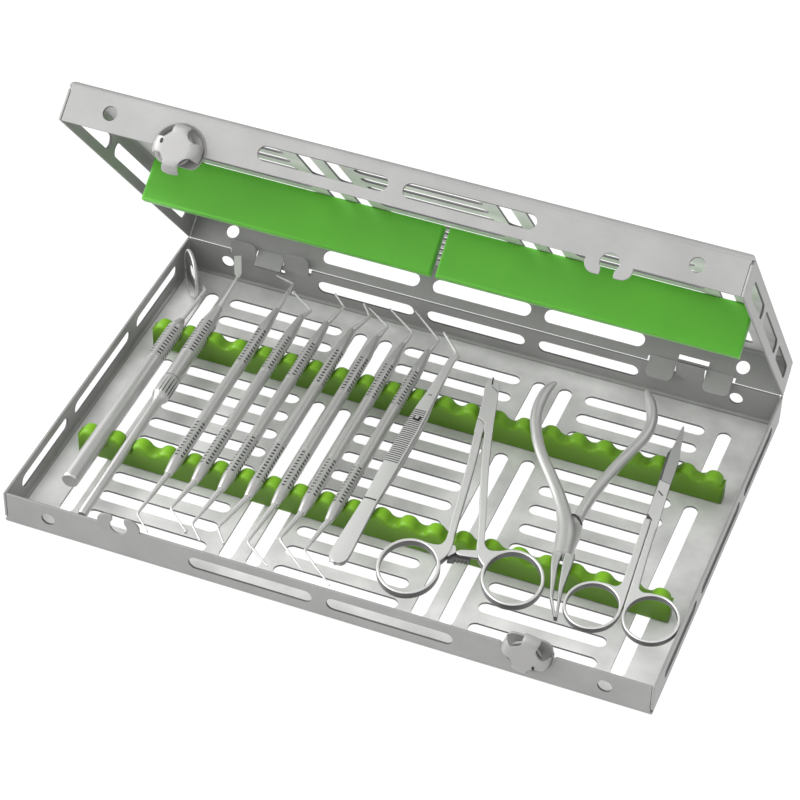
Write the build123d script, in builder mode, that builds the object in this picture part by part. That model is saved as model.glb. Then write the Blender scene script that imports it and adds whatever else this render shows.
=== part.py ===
"""Dental instrument cassette with twelve instruments: two perforated sheet steel halves, a tab-and-slot
hinge, two turning latches, silicone racks and hold-down bars. Millimetres. The origin is the middle of the
tray's underside, +Z is up, -Y is the side that opens. The lid stands open and the latches are at rest."""

import os
from math import atan, cos, degrees, pi, sin

from build123d import *

os.makedirs("parts", exist_ok=True)

# The two halves are one pressing, turned over to make the lid.
LENGTH = 280.0
DEPTH = 182.0
HALF_HEIGHT = 17.0
SHEET = 1.0
BEND = 2.5
RIM_GAP = 0.2
LID_OPEN = 51.53
SEAM = 0.3
SEAM_HEIGHT = 4.5

# Perforation. Slot ends are drawn in a few flats, so that the mesh of so many slots stays light.
SLOT = 6.1
END_FLATS = 3
ROW_PITCH = 12.25
ROWS = 13
BLOCK_PITCH = 84.5
BLOCK_SLOT = 54.2
COLUMNS = (36.2, 48.2, 120.5)
COLUMN_MID = 54.6
COLUMN_END = 42.5
COLUMN_BRIDGE = 6.7
WALL_SLOT_DROP = 7.5
FRONT_SLOT = 53.9
FRONT_SLOT_X = 30.05
BACK_SLOT = 46.2
BACK_SLOT_PITCH = 52.5
CORNER_HOLE = 3.0
CORNER_HOLE_IN = 20.0

# Hinge: one half's two outer tabs and the other's middle tab pass inside the facing wall.
HINGE_IN = 41.3
TAB_SPLIT = 13.0
OUTER_TAB = 12.0
OUTER_TAB_RISE = 7.2
MIDDLE_TAB_RISE = 5.2
TAB_SIDE_GAP = 0.3
TAB_FACE_GAP = 0.15
TAB_CORNER = 2.5
TAB_JOG = 0.35
TAB_ROOT = 3.0
LIP = 1.0
LIP_CORNER = 0.8
LIP_REACH = 0.95
LIP_GAP = 0.25
HINGE_SLOT = 2.1
HINGE_SLOT_WIDE = 13.8
RELIEF = 1.0
RELIEF_DROP = 2.0

# Latch: a knob on a set-back tab at one end of the front wall, a split clip cut at the other.
LATCH_IN = 52.0
SHAFT_R = 3.6
SHAFT_FLATS = 5.0
SHAFT_RUN = 0.05
CLIP_HOLE_R = 3.85
CLIP_MOUTH = 5.5
CLIP_WIDE = 18.7
CLIP_RISE = 5.3
CLIP_CORNER = 4.0
TAB_WIDE = 19.3
TAB_RISE = 5.8
POCKET_R = 10.0
POCKET_FLARE = 1.3
SET_BACK = 0.25
CAP_R = 10.6
CAP_SHEET = 1.0
CAP_STAND = 4.2
CAP_LIP_GAP = 0.9
CAP_SHOULDER = 8.4
CAP_SLOPE = 0.6
SCALLOP_R = 6.15
SCALLOP_AT = 13.0
WASHER_R = 6.8
WASHER = 1.0
WASHER_GAP = 0.1

# Silicone racks across the tray and bars inside the lid.
RACK_END = 9.0
RACK_THICK = 6.5
RACK_SPACING = 74.1
RACK_SHIFT = -1.55
RACK_ROW = 3
RACK_CREST = 14.3
SEAT_END = 20.0
SEAT_COUNT = 21
SEAT_R = 3.0
SEAT_Z = 14.0
ARC_FLATS = 3
SEAT_LEDGE = 1.0
DEEP_SEAT_R = 4.2
DEEP_SEAT_Z = 13.5
FOOT_GAP = 0.15
BAR_THICK = 6.0
BAR_HEIGHT = 14.4
BAR_LEFT_STOP = -1.0
BAR_RIGHT_START = 1.5
BAR_EDGE = 1.2

# Round instruments: ten flats round, and six on the working ends.
ROUND_FLATS = 10
WIRE_FLATS = 6
HANDLE_R = 2.7
HANDLE_NECK_R = 1.7
HANDLE_END_R = 1.3
SHANK_R = 1.05
BEND_R = 0.75
TIP_R = 0.35
BLUNT_R = 0.6
BALL_R = 1.0
BALL_BANDS = 4
KNUCKLE = 0.4

# Double-ended handle: how far its ends stay from the walls' outsides, then its tapers and end steps.
HANDLE_FRONT_IN = 39.0
HANDLE_BACK_IN = 28.5
HANDLE_TAPER = 7.5
HANDLE_FRONT_NECK = 3.0
HANDLE_BACK_NECK = 2.0

# Working ends, rear then front: each is the bend and the point, across from the handle's axis and in from
# the wall. The last value tells a ball-ended one.
DOUBLE_ENDED = [
    ("explorer", -7, ((-0.2, 9.0), (-9.3, 6.6)), ((-1.7, 12.7), (6.7, 5.0)), TIP_R, False),
    ("burnisher", -6, ((2.4, 23.0), (-9.6, 14.6)), ((-2.4, 20.8), (8.9, 11.1)), TIP_R, True),
    ("plugger_wide", -5, ((2.7, 15.0), (-4.3, 8.2)), ((-2.6, 16.0), (4.6, 8.4)), BLUNT_R, False),
    ("plugger_fine", -4, ((3.8, 16.8), (-1.9, 9.6)), ((-4.0, 18.0), (2.0, 10.6)), BLUNT_R, False),
    ("scaler_left", -3, ((1.7, 20.0), (-10.7, 11.4)), ((-1.7, 15.0), (11.4, 5.7)), TIP_R, False),
    ("scaler_mid", -2, ((1.4, 19.7), (-14.2, 8.0)), ((-2.3, 21.7), (13.4, 8.7)), TIP_R, False),
    ("scaler_right", -1, ((1.6, 19.7), (-15.4, 5.0)), ((-2.5, 19.2), (14.4, 5.4)), TIP_R, False),
]

# Mouth mirror, lying on its side so that the disc stands on edge. Its bend and disc are placed across from
# the handle's axis, in from the rear wall, and up from the axis.
MIRROR_FRONT_IN = 20.0
MIRROR_BACK_IN = 51.0
MIRROR_R_HANDLE = 3.75
MIRROR_CHAMFER = (1.2, 3.2)
MIRROR_GROOVE = (1.0, 3.3)
MIRROR_CONE = (5.4, 3.5, 1.7)
MIRROR_STEM_R = 0.95
MIRROR_BEND = (0.9, 27.1, -0.5)
MIRROR_DISC = (-9.7, 18.7, -0.8)
MIRROR_FACING = (-0.793, -0.606, 0.054)
MIRROR_R = 11.2
MIRROR_THICK = 2.0
MIRROR_RIM = 0.8
GLASS_DEPTH = 0.8
GLASS_GAP = 0.05

# Blade instrument: a thin rod, a collar, a barrel and a flat blade bent up. It tilts, front end down.
# Its rod is as long as the room in front of the collar; each further step is a length and two radii.
BLADE_SEAT_Y = 35.5
BLADE_TILT = 1.47
BLADE_FRONT_IN = 6.7
BLADE_ROD_R = 2.0
BLADE_CHAMFER = (1.0, 1.6)
BLADE_COLLAR_BACK = 47.0
BLADE_STEPS = [
    (3.5, 2.0, 3.9),
    (11.0, 3.9, 3.9),
    (1.0, 3.2, 3.2),
    (38.0, 3.8, 3.8),
    (11.5, 3.8, 1.7),
]
BLADE_ROOT = (-0.7, 14.7, 14.6)
BLADE_POINT = (-3.8, 7.8, 20.5)
BLADE_ACROSS = (0.9066, 0.422, 0.0)
BLADE_WIDE = 3.2
BLADE_SHEET = 0.6

# Tweezers on their side: plan outline with half widths, and the two arms' heights along it.
TWEEZERS_PLAN = [
    (0.0, -78.5, 3.0),
    (0.0, -76.0, 4.4),
    (0.0, -60.0, 4.4),
    (0.0, -30.0, 3.8),
    (0.0, 26.0, 3.5),
    (0.0, 36.0, 2.4),
    (0.4, 52.0, 1.5),
    (1.2, 62.5, 1.1),
    (-9.9, 76.5, 0.4),
]
ARM_LOW = [(-78.5, 14.6), (-34.0, 14.6), (-6.0, 12.2), (22.0, 12.2), (32.0, 13.7), (78.0, 13.7)]
ARM_HIGH = [(-78.5, 15.6), (-34.0, 15.9), (-6.0, 16.7), (22.0, 16.7), (36.0, 16.4), (78.0, 15.6)]
ARM_SHEET = 0.9
ARM_SLOT_Y = 18.4
ARM_SLOT = 5.0
ARM_HOLE_Y = 32.5
ARM_HOLE_R = 0.8

# Pivoting tools: each half is a spine of points with half widths, from the pin, in the tool's own plane.
RING_FLATS = 14
LAP_GAP = 0.1
PIN_RUN = 0.05
LAP_SIDE = 0.3
HOLDER_AT = (26.6, 30.4, 16.2)
HOLDER_TURN = 13.7
HOLDER_THICK = 3.6
HOLDER_LAP_R = 5.0
HOLDER_PIN_R = 1.6
HOLDER_JAW = [(1.9, 3.0, 1.85), (1.85, 12.0, 1.8), (1.6, 20.5, 1.55), (0.85, 25.5, 0.8)]
HOLDER_SHANK = [
    (-1.4, -3.0, 1.3), (-3.1, -18.0, 1.6), (-7.3, -68.0, 1.7), (-8.3, -82.0, 1.5), (-9.2, -92.0, 1.3),
]
HOLDER_RING = (-20.5, -95.0, 26.0, 31.0, 2.3, -4.0)
RATCHET_Y = -83.0
RATCHET = 2.2
RATCHET_ARM = 8.4
RATCHET_OVERLAP = 0.4
PLIERS_AT = (83.6, -26.7, 16.4)
PLIERS_THICK = 4.0
PLIERS_LAP_R = 9.5
PLIERS_PIN_R = 1.7
PLIERS_PLATE = (6.8, 17.6)
PLIERS_RIGHT = [
    (1.1, 98.9, 1.8), (5.9, 90.3, 2.1), (9.2, 81.6, 2.1), (9.7, 72.0, 2.1), (6.9, 60.5, 2.1),
    (3.5, 48.0, 2.1), (0.6, 33.6, 2.1), (-0.1, 20.2, 1.9), (0.9, 12.0, 1.7), (1.2, 8.0, 1.6),
]
PLIERS_LEFT = [
    (-36.9, 88.8, 1.8), (-39.3, 79.7, 2.1), (-38.3, 66.3, 2.1), (-33.0, 52.8, 2.1), (-27.3, 43.2, 2.1),
    (-18.6, 31.7, 2.1), (-11.9, 22.1, 2.1), (-6.2, 13.9, 1.8), (-3.9, 10.0, 1.6), (-2.6, 7.0, 1.5),
]
BEAK_LEFT = [(-1.6, -7.0, 1.5), (-1.4, -16.0, 1.6), (3.6, -30.0, 1.1), (8.1, -43.2, 0.5)]
BEAK_RIGHT = [(2.0, -7.0, 1.5), (2.3, -16.0, 1.6), (6.2, -30.0, 1.1), (9.4, -43.2, 0.5)]
SCISSORS_AT = (110.1, 3.7, 15.9)
SCISSORS_TURN = 5.0
SCISSORS_THICK = 3.0
SCISSORS_PIN_R = 1.5
SCISSORS_LAP = -7.0
BLADE_UPPER = [(-1.6, -5.5), (-1.6, 44.0), (0.4, 53.2), (2.6, 34.0), (3.2, 17.0), (3.3, 3.0), (2.7, -5.5)]
BLADE_LOWER = [(2.7, -5.5), (3.3, 17.0), (2.2, 38.0), (0.4, 52.0), (-0.8, 40.0), (-1.2, 3.0), (-2.7, -5.5)]
SCISSORS_SHANK = [(-1.4, -3.0, 1.15), (-1.4, -44.0, 1.3), (-2.0, -58.0, 1.2)]
SCISSORS_RING = (-12.1, -60.8, 22.0, 27.5, 2.1, -3.0)

# Sizes that follow from those above.
RIM = HALF_HEIGHT - RIM_GAP / 2
BACK = DEPTH / 2
CORNER_HOLE_X = LENGTH / 2 - CORNER_HOLE_IN
HINGE_X = LENGTH / 2 - HINGE_IN
LATCH_X = LENGTH / 2 - LATCH_IN
RACK_LENGTH = LENGTH - 2 * RACK_END
SEAT_PITCH = (LENGTH - 2 * SEAT_END) / (SEAT_COUNT - 1)
MIRROR_X = SEAT_END - LENGTH / 2
BLADE_X = MIRROR_X + SEAT_PITCH
HANDLE_START = HANDLE_FRONT_IN - BACK
HANDLE_STOP = BACK - HANDLE_BACK_IN
MIRROR_START = MIRROR_FRONT_IN - BACK
MIRROR_STOP = BACK - MIRROR_BACK_IN
TAB_IN = SHEET + TAB_FACE_GAP
LIP_SLOT_Z = HALF_HEIGHT - (MIDDLE_TAB_RISE - LIP - LIP_GAP + HINGE_SLOT / 2)
CLOSED_LID = Pos(0, 0, 2 * HALF_HEIGHT) * Rot(0, 180, 0)
SWING = Pos(0, BACK, HALF_HEIGHT) * Rot(-LID_OPEN, 0, 0) * Pos(0, -BACK, -HALF_HEIGHT)
LID_PLACE = SWING * CLOSED_LID


def slot_outline(length, width):
    """A long slot centred on the origin, along X, with its round ends in flats."""
    radius = width / 2
    turn = [pi * k / END_FLATS - pi / 2 for k in range(END_FLATS + 1)]
    right = [(length / 2 - radius + radius * cos(a), radius * sin(a)) for a in turn]
    left = [(-x, -y) for x, y in right]
    with BuildSketch() as outline:
        with BuildLine():
            Polyline(*right, *left, close=True)
        make_face()
    return outline.sketch


def handle_steps():
    """The double-ended handle from its front end: each step is a length and the radius at its two ends."""
    necks = HANDLE_FRONT_NECK + HANDLE_BACK_NECK
    barrel = HANDLE_STOP - HANDLE_START - necks - 2 * HANDLE_TAPER
    return [
        (HANDLE_FRONT_NECK, HANDLE_END_R, HANDLE_NECK_R),
        (HANDLE_TAPER, HANDLE_NECK_R, HANDLE_R),
        (barrel, HANDLE_R, HANDLE_R),
        (HANDLE_TAPER, HANDLE_R, HANDLE_NECK_R),
        (HANDLE_BACK_NECK, HANDLE_NECK_R, HANDLE_END_R),
    ]


def mirror_steps():
    """The mirror's handle from its front end, in the same form."""
    barrel = MIRROR_STOP - MIRROR_START - MIRROR_CHAMFER[0] - MIRROR_GROOVE[0] - MIRROR_CONE[0]
    return [
        (*MIRROR_CHAMFER, MIRROR_R_HANDLE),
        (barrel, MIRROR_R_HANDLE, MIRROR_R_HANDLE),
        (*MIRROR_GROOVE, MIRROR_GROOVE[1]),
        MIRROR_CONE,
    ]


def folded_box():
    """The bare folded half: floor, four walls, rounded folds along the floor."""
    with BuildPart() as hollow:
        with BuildSketch(Plane.XY.offset(SHEET)):
            Rectangle(LENGTH - 2 * SHEET, DEPTH - 2 * SHEET)
        extrude(amount=HALF_HEIGHT)
        fillet(hollow.edges().group_by(Axis.Z)[0], BEND - SHEET)
    with BuildPart() as box:
        with BuildSketch():
            Rectangle(LENGTH, DEPTH)
        extrude(amount=RIM)
        fillet(box.edges().group_by(Axis.Z)[0], BEND)
        add(hollow.part, mode=Mode.SUBTRACT)
    return box.part


def floor_holes():
    """Three blocks of cross slots and six rows of long slots between and beside them."""
    row_slot = slot_outline(BLOCK_SLOT, SLOT)
    with BuildSketch() as holes:
        with GridLocations(BLOCK_PITCH, ROW_PITCH, 3, ROWS):
            add(row_slot)
        for column in COLUMNS:
            for x in (-column, column):
                with Locations(Pos(x, 0) * Rot(0, 0, 90)):
                    add(slot_outline(COLUMN_MID, SLOT))
                for side in (-1, 1):
                    y = side * (COLUMN_MID / 2 + COLUMN_BRIDGE + COLUMN_END / 2)
                    with Locations(Pos(x, y) * Rot(0, 0, 90)):
                        add(slot_outline(COLUMN_END, SLOT))
    return holes.sketch


def wall_holes():
    """The perforation of the four walls, as one tool that passes through them."""
    z = HALF_HEIGHT - WALL_SLOT_DROP
    with BuildPart() as tool:
        with BuildSketch(Plane.XZ.offset(BACK)):
            with Locations((-FRONT_SLOT_X, z), (FRONT_SLOT_X, z)):
                add(slot_outline(FRONT_SLOT, SLOT))
        extrude(amount=2 * SHEET, both=True)
        with BuildSketch(Plane.XZ.offset(-BACK)):
            with Locations(*[(k * BACK_SLOT_PITCH, z) for k in (-1, 0, 1)]):
                add(slot_outline(BACK_SLOT, SLOT))
            with Locations((-HINGE_X, LIP_SLOT_Z)):
                Rectangle(HINGE_SLOT_WIDE, HINGE_SLOT)
        extrude(amount=2 * SHEET, both=True)
        with BuildSketch(Plane.XZ):
            with Locations((-CORNER_HOLE_X, z), (CORNER_HOLE_X, z)):
                RegularPolygon(CORNER_HOLE, ROUND_FLATS)
        extrude(amount=DEPTH, both=True)
        with BuildSketch(Plane.YZ):
            with Locations((0, z)):
                add(slot_outline(COLUMN_MID, SLOT))
            for side in (-1, 1):
                with Locations((side * (COLUMN_MID / 2 + COLUMN_BRIDGE + COLUMN_END / 2), z)):
                    add(slot_outline(COLUMN_END, SLOT))
        extrude(amount=LENGTH, both=True)
        seam_x = LENGTH / 2 - SHEET - SEAM / 2
        with BuildSketch(Plane.XZ):
            with Locations((-seam_x, SEAM_HEIGHT + RIM / 2), (seam_x, SEAM_HEIGHT + RIM / 2)):
                Rectangle(SEAM, RIM)
            with Locations((-seam_x, SEAM_HEIGHT), (seam_x, SEAM_HEIGHT)):
                RegularPolygon(RELIEF, WIRE_FLATS)
        extrude(amount=DEPTH, both=True)
    return tool.part


def tab_section(rise, lip):
    """A tab's section across the wall: up from the wall, set in by one sheet, with or without a lip."""
    inner = -SHEET - TAB_IN
    outer = -TAB_IN
    top = HALF_HEIGHT + rise
    points = [
        (0, RIM - TAB_IN),
        (outer, RIM),
        (outer, top - LIP),
        (outer + LIP_REACH, top - LIP),
        (outer + LIP_REACH, top),
        (inner, top),
        (inner, RIM - TAB_JOG),
        (-SHEET, RIM - TAB_IN - TAB_JOG),
        (-SHEET, RIM - TAB_ROOT),
        (0, RIM - TAB_ROOT),
    ]
    if not lip:
        points[2:5] = [(outer, top)]
    with BuildSketch() as section:
        with BuildLine():
            Polyline(*[(BACK + u, w) for u, w in points], close=True)
        make_face()
    return section.sketch


def hinge_tab(x, wide, rise, lip=False):
    """One hinge tab of the back wall, set in by one sheet above the rim, with its corners rounded."""
    with BuildPart() as tab:
        with BuildSketch(Plane.YZ.offset(x)):
            add(tab_section(rise, lip))
        extrude(amount=wide / 2, both=True)
        top = tab.edges().filter_by(Axis.Y).group_by(Axis.Z)[-1]
        fillet(top, LIP_CORNER if lip else TAB_CORNER)
    return tab.part


def add_hinge(shell_part):
    """Cuts the rim back at each tab, then adds the middle tab on the right and the outer two on the left."""
    inner = TAB_SPLIT / 2
    outer_x = inner + TAB_SIDE_GAP + OUTER_TAB / 2
    tabs = [
        (HINGE_X, TAB_SPLIT - TAB_SIDE_GAP, MIDDLE_TAB_RISE, True),
        (-HINGE_X - outer_x, OUTER_TAB, OUTER_TAB_RISE, False),
        (-HINGE_X + outer_x, OUTER_TAB, OUTER_TAB_RISE, False),
    ]
    with BuildPart() as shell:
        add(shell_part)
        with BuildSketch(Plane.XZ.offset(-BACK)):
            for x, wide, _, _ in tabs:
                with Locations((x, RIM)):
                    Rectangle(wide + 2 * RELIEF, 2 * RELIEF_DROP)
        extrude(amount=SHEET, mode=Mode.SUBTRACT)
        for x, wide, rise, lip in tabs:
            add(hinge_tab(x, wide, rise, lip))
    return shell.part


def add_latch(shell_part):
    """The split clip on the left of the front wall; on the right a pocket, a set-back tab and its hole."""
    front = Plane.XZ.offset(BACK)
    depth = SET_BACK + 2 * SHEET
    flare = degrees(atan(POCKET_FLARE / (SET_BACK + SHEET)))
    mouth_r = POCKET_R + POCKET_FLARE
    with BuildPart() as pocket:
        with BuildSketch(front):
            with Locations((LATCH_X, HALF_HEIGHT)):
                RegularPolygon(mouth_r + SHEET, 2 * ROUND_FLATS)
        extrude(amount=-depth, taper=flare)
        split(bisect_by=Plane.XY.offset(RIM), keep=Keep.BOTTOM)
    with BuildPart() as recess:
        with BuildSketch(front):
            with Locations((LATCH_X, HALF_HEIGHT)):
                RegularPolygon(mouth_r, 2 * ROUND_FLATS)
        extrude(amount=-(SET_BACK + SHEET), taper=flare)
    with BuildPart() as tab:
        with BuildSketch(front.offset(-SET_BACK - SHEET)):
            with Locations((LATCH_X, HALF_HEIGHT)):
                Rectangle(TAB_WIDE, 2 * TAB_RISE)
        extrude(amount=-SHEET)
        fillet(tab.edges().filter_by(Axis.Y).group_by(Axis.Z)[-1], CLIP_CORNER)
    with BuildPart() as clip:
        with BuildSketch(front):
            with Locations((-LATCH_X, HALF_HEIGHT)):
                Rectangle(CLIP_WIDE, 2 * CLIP_RISE)
        extrude(amount=-SHEET)
        fillet(clip.edges().filter_by(Axis.Y).group_by(Axis.Z)[-1], CLIP_CORNER)
    with BuildPart() as shell:
        add(shell_part)
        add(pocket.part)
        add(recess.part, mode=Mode.SUBTRACT)
        add(tab.part)
        add(clip.part)
        with BuildSketch(front):
            with Locations((LATCH_X, HALF_HEIGHT)):
                Circle(SHAFT_R + SHAFT_RUN)
            with Locations((-LATCH_X, HALF_HEIGHT)):
                Circle(CLIP_HOLE_R)
            with Locations((-LATCH_X, HALF_HEIGHT + CLIP_RISE)):
                Rectangle(CLIP_MOUTH, 2 * CLIP_RISE)
        extrude(amount=-depth - SHEET, mode=Mode.SUBTRACT)
    return shell.part


def make_shell():
    """One half, as it lies when it is the tray."""
    with BuildPart() as shell:
        add(folded_box())
        with BuildSketch():
            add(floor_holes())
        extrude(amount=SHEET, mode=Mode.SUBTRACT)
        add(wall_holes(), mode=Mode.SUBTRACT)
    return add_latch(add_hinge(shell.part))


def plug(row_y, x_span, y_span):
    """The feet that a soft piece presses into one row of cross slots, trimmed to its own footprint."""
    with BuildPart() as feet:
        with BuildSketch(Plane.XY.offset(FOOT_GAP)):
            with Locations(*[(k * BLOCK_PITCH, row_y) for k in (-1, 0, 1)]):
                add(slot_outline(BLOCK_SLOT - 2 * FOOT_GAP, SLOT - 2 * FOOT_GAP))
            with Locations((sum(x_span) / 2, sum(y_span) / 2)):
                Rectangle(x_span[1] - x_span[0], y_span[1] - y_span[0], mode=Mode.INTERSECT)
        extrude(amount=SHEET - FOOT_GAP)
    return feet.part


def wave():
    """The rack's outline: seats and crests as tangent arcs in flats, with two deeper seats on the left."""
    lift = RACK_CREST - SEAT_Z
    crest_r = (SEAT_PITCH**2 / 4 + lift**2 - SEAT_R**2) / (2 * (SEAT_R + lift))
    crest_z = RACK_CREST - crest_r
    turn = atan(SEAT_PITCH / 2 / (SEAT_Z - crest_z))
    steps = [turn * (2 * k / ARC_FLATS - 1) for k in range(ARC_FLATS + 1)]
    end = RACK_LENGTH / 2
    first = -SEAT_PITCH * (SEAT_COUNT - 1) / 2
    points = [(-end, SHEET), (-end, crest_z), (first - SEAT_PITCH / 2 - crest_r, crest_z + SEAT_LEDGE)]
    for seat in range(SEAT_COUNT):
        x = first + seat * SEAT_PITCH
        crest_x = x - SEAT_PITCH / 2
        points += [(crest_x + crest_r * sin(a), crest_z + crest_r * cos(a)) for a in steps[:-1]]
        points += [(x + SEAT_R * sin(a), SEAT_Z - SEAT_R * cos(a)) for a in steps[:-1]]
    crest_x = -first + SEAT_PITCH / 2
    points += [(crest_x + crest_r * sin(a), crest_z + crest_r * cos(a)) for a in steps]
    points += [(crest_x + crest_r, crest_z + SEAT_LEDGE), (end, crest_z), (end, SHEET)]
    with BuildSketch() as outline:
        with BuildLine():
            Polyline(*points, close=True)
        make_face()
        with Locations((MIRROR_X, DEEP_SEAT_Z), (BLADE_X, DEEP_SEAT_Z)):
            RegularPolygon(DEEP_SEAT_R, 2 * ROUND_FLATS, mode=Mode.SUBTRACT)
    return outline.sketch


def make_rack(side):
    """One rack, side -1 in front and 1 behind, with its feet in the floor."""
    y = RACK_SHIFT + side * RACK_SPACING / 2
    span = (y - RACK_THICK / 2, y + RACK_THICK / 2)
    with BuildPart() as rack:
        with BuildSketch(Plane.XZ.offset(-y)):
            add(wave())
        extrude(amount=RACK_THICK / 2, both=True)
        add(plug(side * RACK_ROW * ROW_PITCH, (-RACK_LENGTH / 2, RACK_LENGTH / 2), span))
    return rack.part


def make_bar(x_span):
    """One hold-down bar, standing on the lid's inside as the lid lies when it is a tray."""
    with BuildPart() as bar:
        with BuildSketch(Plane.XY.offset(SHEET)):
            with Locations((sum(x_span) / 2, 0)):
                Rectangle(x_span[1] - x_span[0], BAR_THICK)
        extrude(amount=BAR_HEIGHT)
        fillet(bar.edges().group_by(Axis.Z)[-1], BAR_EDGE)
        add(plug(0, x_span, (-BAR_THICK / 2, BAR_THICK / 2)))
    return bar.part


def make_cap():
    """The knob's dished cap with four scallops; Z is the knob's axis, zero at the wall's outer face."""
    drop = (CAP_R - CAP_SHOULDER) * CAP_SLOPE
    base = Plane.XY.offset(CAP_LIP_GAP)
    with BuildPart() as cap:
        for inset, mode in ((0, Mode.ADD), (CAP_SHEET, Mode.SUBTRACT)):
            side = CAP_STAND - drop - CAP_LIP_GAP - inset
            edge = CAP_R - inset
            add(band(base, 2 * ROUND_FLATS, edge, edge, side), mode=mode)
            add(band(base.offset(side), 2 * ROUND_FLATS, edge, CAP_SHOULDER - inset, drop), mode=mode)
        with BuildSketch():
            with PolarLocations(SCALLOP_AT, 4, start_angle=45):
                RegularPolygon(SCALLOP_R, ROUND_FLATS)
        extrude(amount=2 * CAP_STAND, mode=Mode.SUBTRACT)
    return cap.part


def make_shaft():
    """The knob's shaft: two flats where the clip passes, round in the tab, riveted over its washer."""
    journal_top = -SET_BACK - SHEET
    journal_end = journal_top - SHEET - WASHER_GAP
    with BuildPart() as shaft:
        with BuildSketch(Plane.XY.offset(journal_top)):
            Circle(SHAFT_R)
            Rectangle(SHAFT_FLATS, 2 * SHAFT_R, mode=Mode.INTERSECT)
        extrude(amount=CAP_STAND - CAP_SHEET - journal_top)
        with BuildSketch(Plane.XY.offset(journal_end)):
            Circle(SHAFT_R)
        extrude(amount=journal_top - journal_end)
        with BuildSketch(Plane.XY.offset(journal_end - WASHER)):
            RegularPolygon(WASHER_R, ROUND_FLATS)
        extrude(amount=WASHER)
    return shaft.part


def band(plane, flats, near, far, length):
    """One band of a turned piece, made upright from its thicker end and then put on its plane."""
    with BuildPart() as piece:
        with BuildSketch():
            RegularPolygon(max(near, far), flats)
        extrude(amount=length, taper=degrees(atan(abs(near - far) * cos(pi / flats) / length)))
    if far > near:
        plane = Plane(plane.offset(length).origin, x_dir=plane.x_dir, z_dir=-plane.z_dir)
    return piece.part.moved(plane.location)


def turned(start, steps):
    """A turned piece along Y from y = start; each step is a length and the radius at its two ends."""
    plane = Plane((0, start, 0), x_dir=(1, 0, 0), z_dir=(0, 1, 0))
    with BuildPart() as piece:
        for length, near, far in steps:
            add(band(plane, ROUND_FLATS, near, far, length))
            plane = plane.offset(length)
    return piece.part


def ball(x, y):
    """A small ball in four bands, for a burnisher's point."""
    turn = [pi * k / BALL_BANDS for k in range(BALL_BANDS + 1)]
    ring = [(BALL_R * cos(a), max(BALL_R * sin(a), BALL_R / 2)) for a in turn]
    steps = [(near[0] - far[0], near[1], far[1]) for near, far in zip(ring, ring[1:])]
    return turned(-BALL_R, steps).moved(Pos(x, y, 0))


def wire(points, radii):
    """A tapering six-sided wire through the given points, one radius for each point."""
    with BuildPart() as piece:
        for p, q, near, far in zip(points, points[1:], radii, radii[1:]):
            run = Vector(*q) - Vector(*p)
            add(band(Plane(p, z_dir=run), WIRE_FLATS, near, far, run.length + far * KNUCKLE))
    return piece.part


def strip(spine):
    """A flat outline along a spine of points, each with its half width."""
    left = []
    right = []
    for k, (x, y, half) in enumerate(spine):
        before = Vector(*spine[max(k - 1, 0)][:2])
        after = Vector(*spine[min(k + 1, len(spine) - 1)][:2])
        along = (after - before).normalized()
        left.append((x - along.Y * half, y + along.X * half))
        right.append((x + along.Y * half, y - along.X * half))
    with BuildSketch() as outline:
        with BuildLine():
            Polyline(*left, *reversed(right), close=True)
        make_face()
    return outline.sketch


def finger_ring(x, y, wide, long, band, tilt):
    """An oval finger ring in flats."""
    turn = [2 * pi * k / RING_FLATS for k in range(RING_FLATS)]
    with BuildSketch() as ring:
        with Locations(Pos(x, y) * Rot(0, 0, tilt)):
            for inset, mode in ((0, Mode.ADD), (band, Mode.SUBTRACT)):
                half_wide = wide / 2 - inset
                half_long = long / 2 - inset
                with BuildSketch(mode=Mode.PRIVATE) as oval:
                    with BuildLine():
                        Polyline(*[(half_wide * cos(a), half_long * sin(a)) for a in turn], close=True)
                    make_face()
                add(oval.sketch, mode=mode)
    return ring.sketch


def lapped(outline, plate, lap, thick, pin_r, upper):
    """Half a pivoting tool: full thickness outside the lap, half of it inside, and a bore for the pin."""
    low = LAP_GAP / 2 if upper else -thick / 2
    high = thick / 2 if upper else -LAP_GAP / 2
    with BuildPart() as half_tool:
        with BuildSketch(Plane.XY.offset(-thick / 2)):
            add(outline)
            add(lap, mode=Mode.SUBTRACT)
        extrude(amount=thick)
        with BuildSketch(Plane.XY.offset(low)):
            add(outline)
            add(plate)
            add(lap, mode=Mode.INTERSECT)
        extrude(amount=high - low)
        with BuildSketch(Plane.XY.offset(-thick)):
            RegularPolygon(pin_r + PIN_RUN, RING_FLATS, major_radius=False)
        extrude(amount=2 * thick, mode=Mode.SUBTRACT)
    return half_tool.part


def mirrored(sketch):
    """The same outline on the other side of the tool's own axis."""
    return mirror(sketch, about=Plane.YZ)


def pin(radius, thick):
    """A tool's pivot pin, flush with both halves."""
    with BuildPart() as body:
        with BuildSketch(Plane.XY.offset(-thick / 2)):
            Circle(radius)
        extrude(amount=thick)
    return body.part


def ratchet(side, upper):
    """A holder's ratchet arm, from its shank on the given side across the tool's axis."""
    with BuildPart() as arm:
        with BuildSketch(Plane.XY.offset(LAP_GAP if upper else -HOLDER_THICK / 2)):
            with Locations((side * (RATCHET_ARM / 2 - RATCHET_OVERLAP), RATCHET_Y)):
                Rectangle(RATCHET_ARM, RATCHET)
        extrude(amount=HOLDER_THICK / 2 - LAP_GAP)
    return arm.part


def save(name, part, place=Location()):
    """Puts one piece in its place, labels it and writes its STEP file."""
    with BuildPart() as placed:
        with Locations(place):
            add(part)
    placed.part.label = name
    export_step(placed.part, f"parts/{name}.step")


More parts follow.
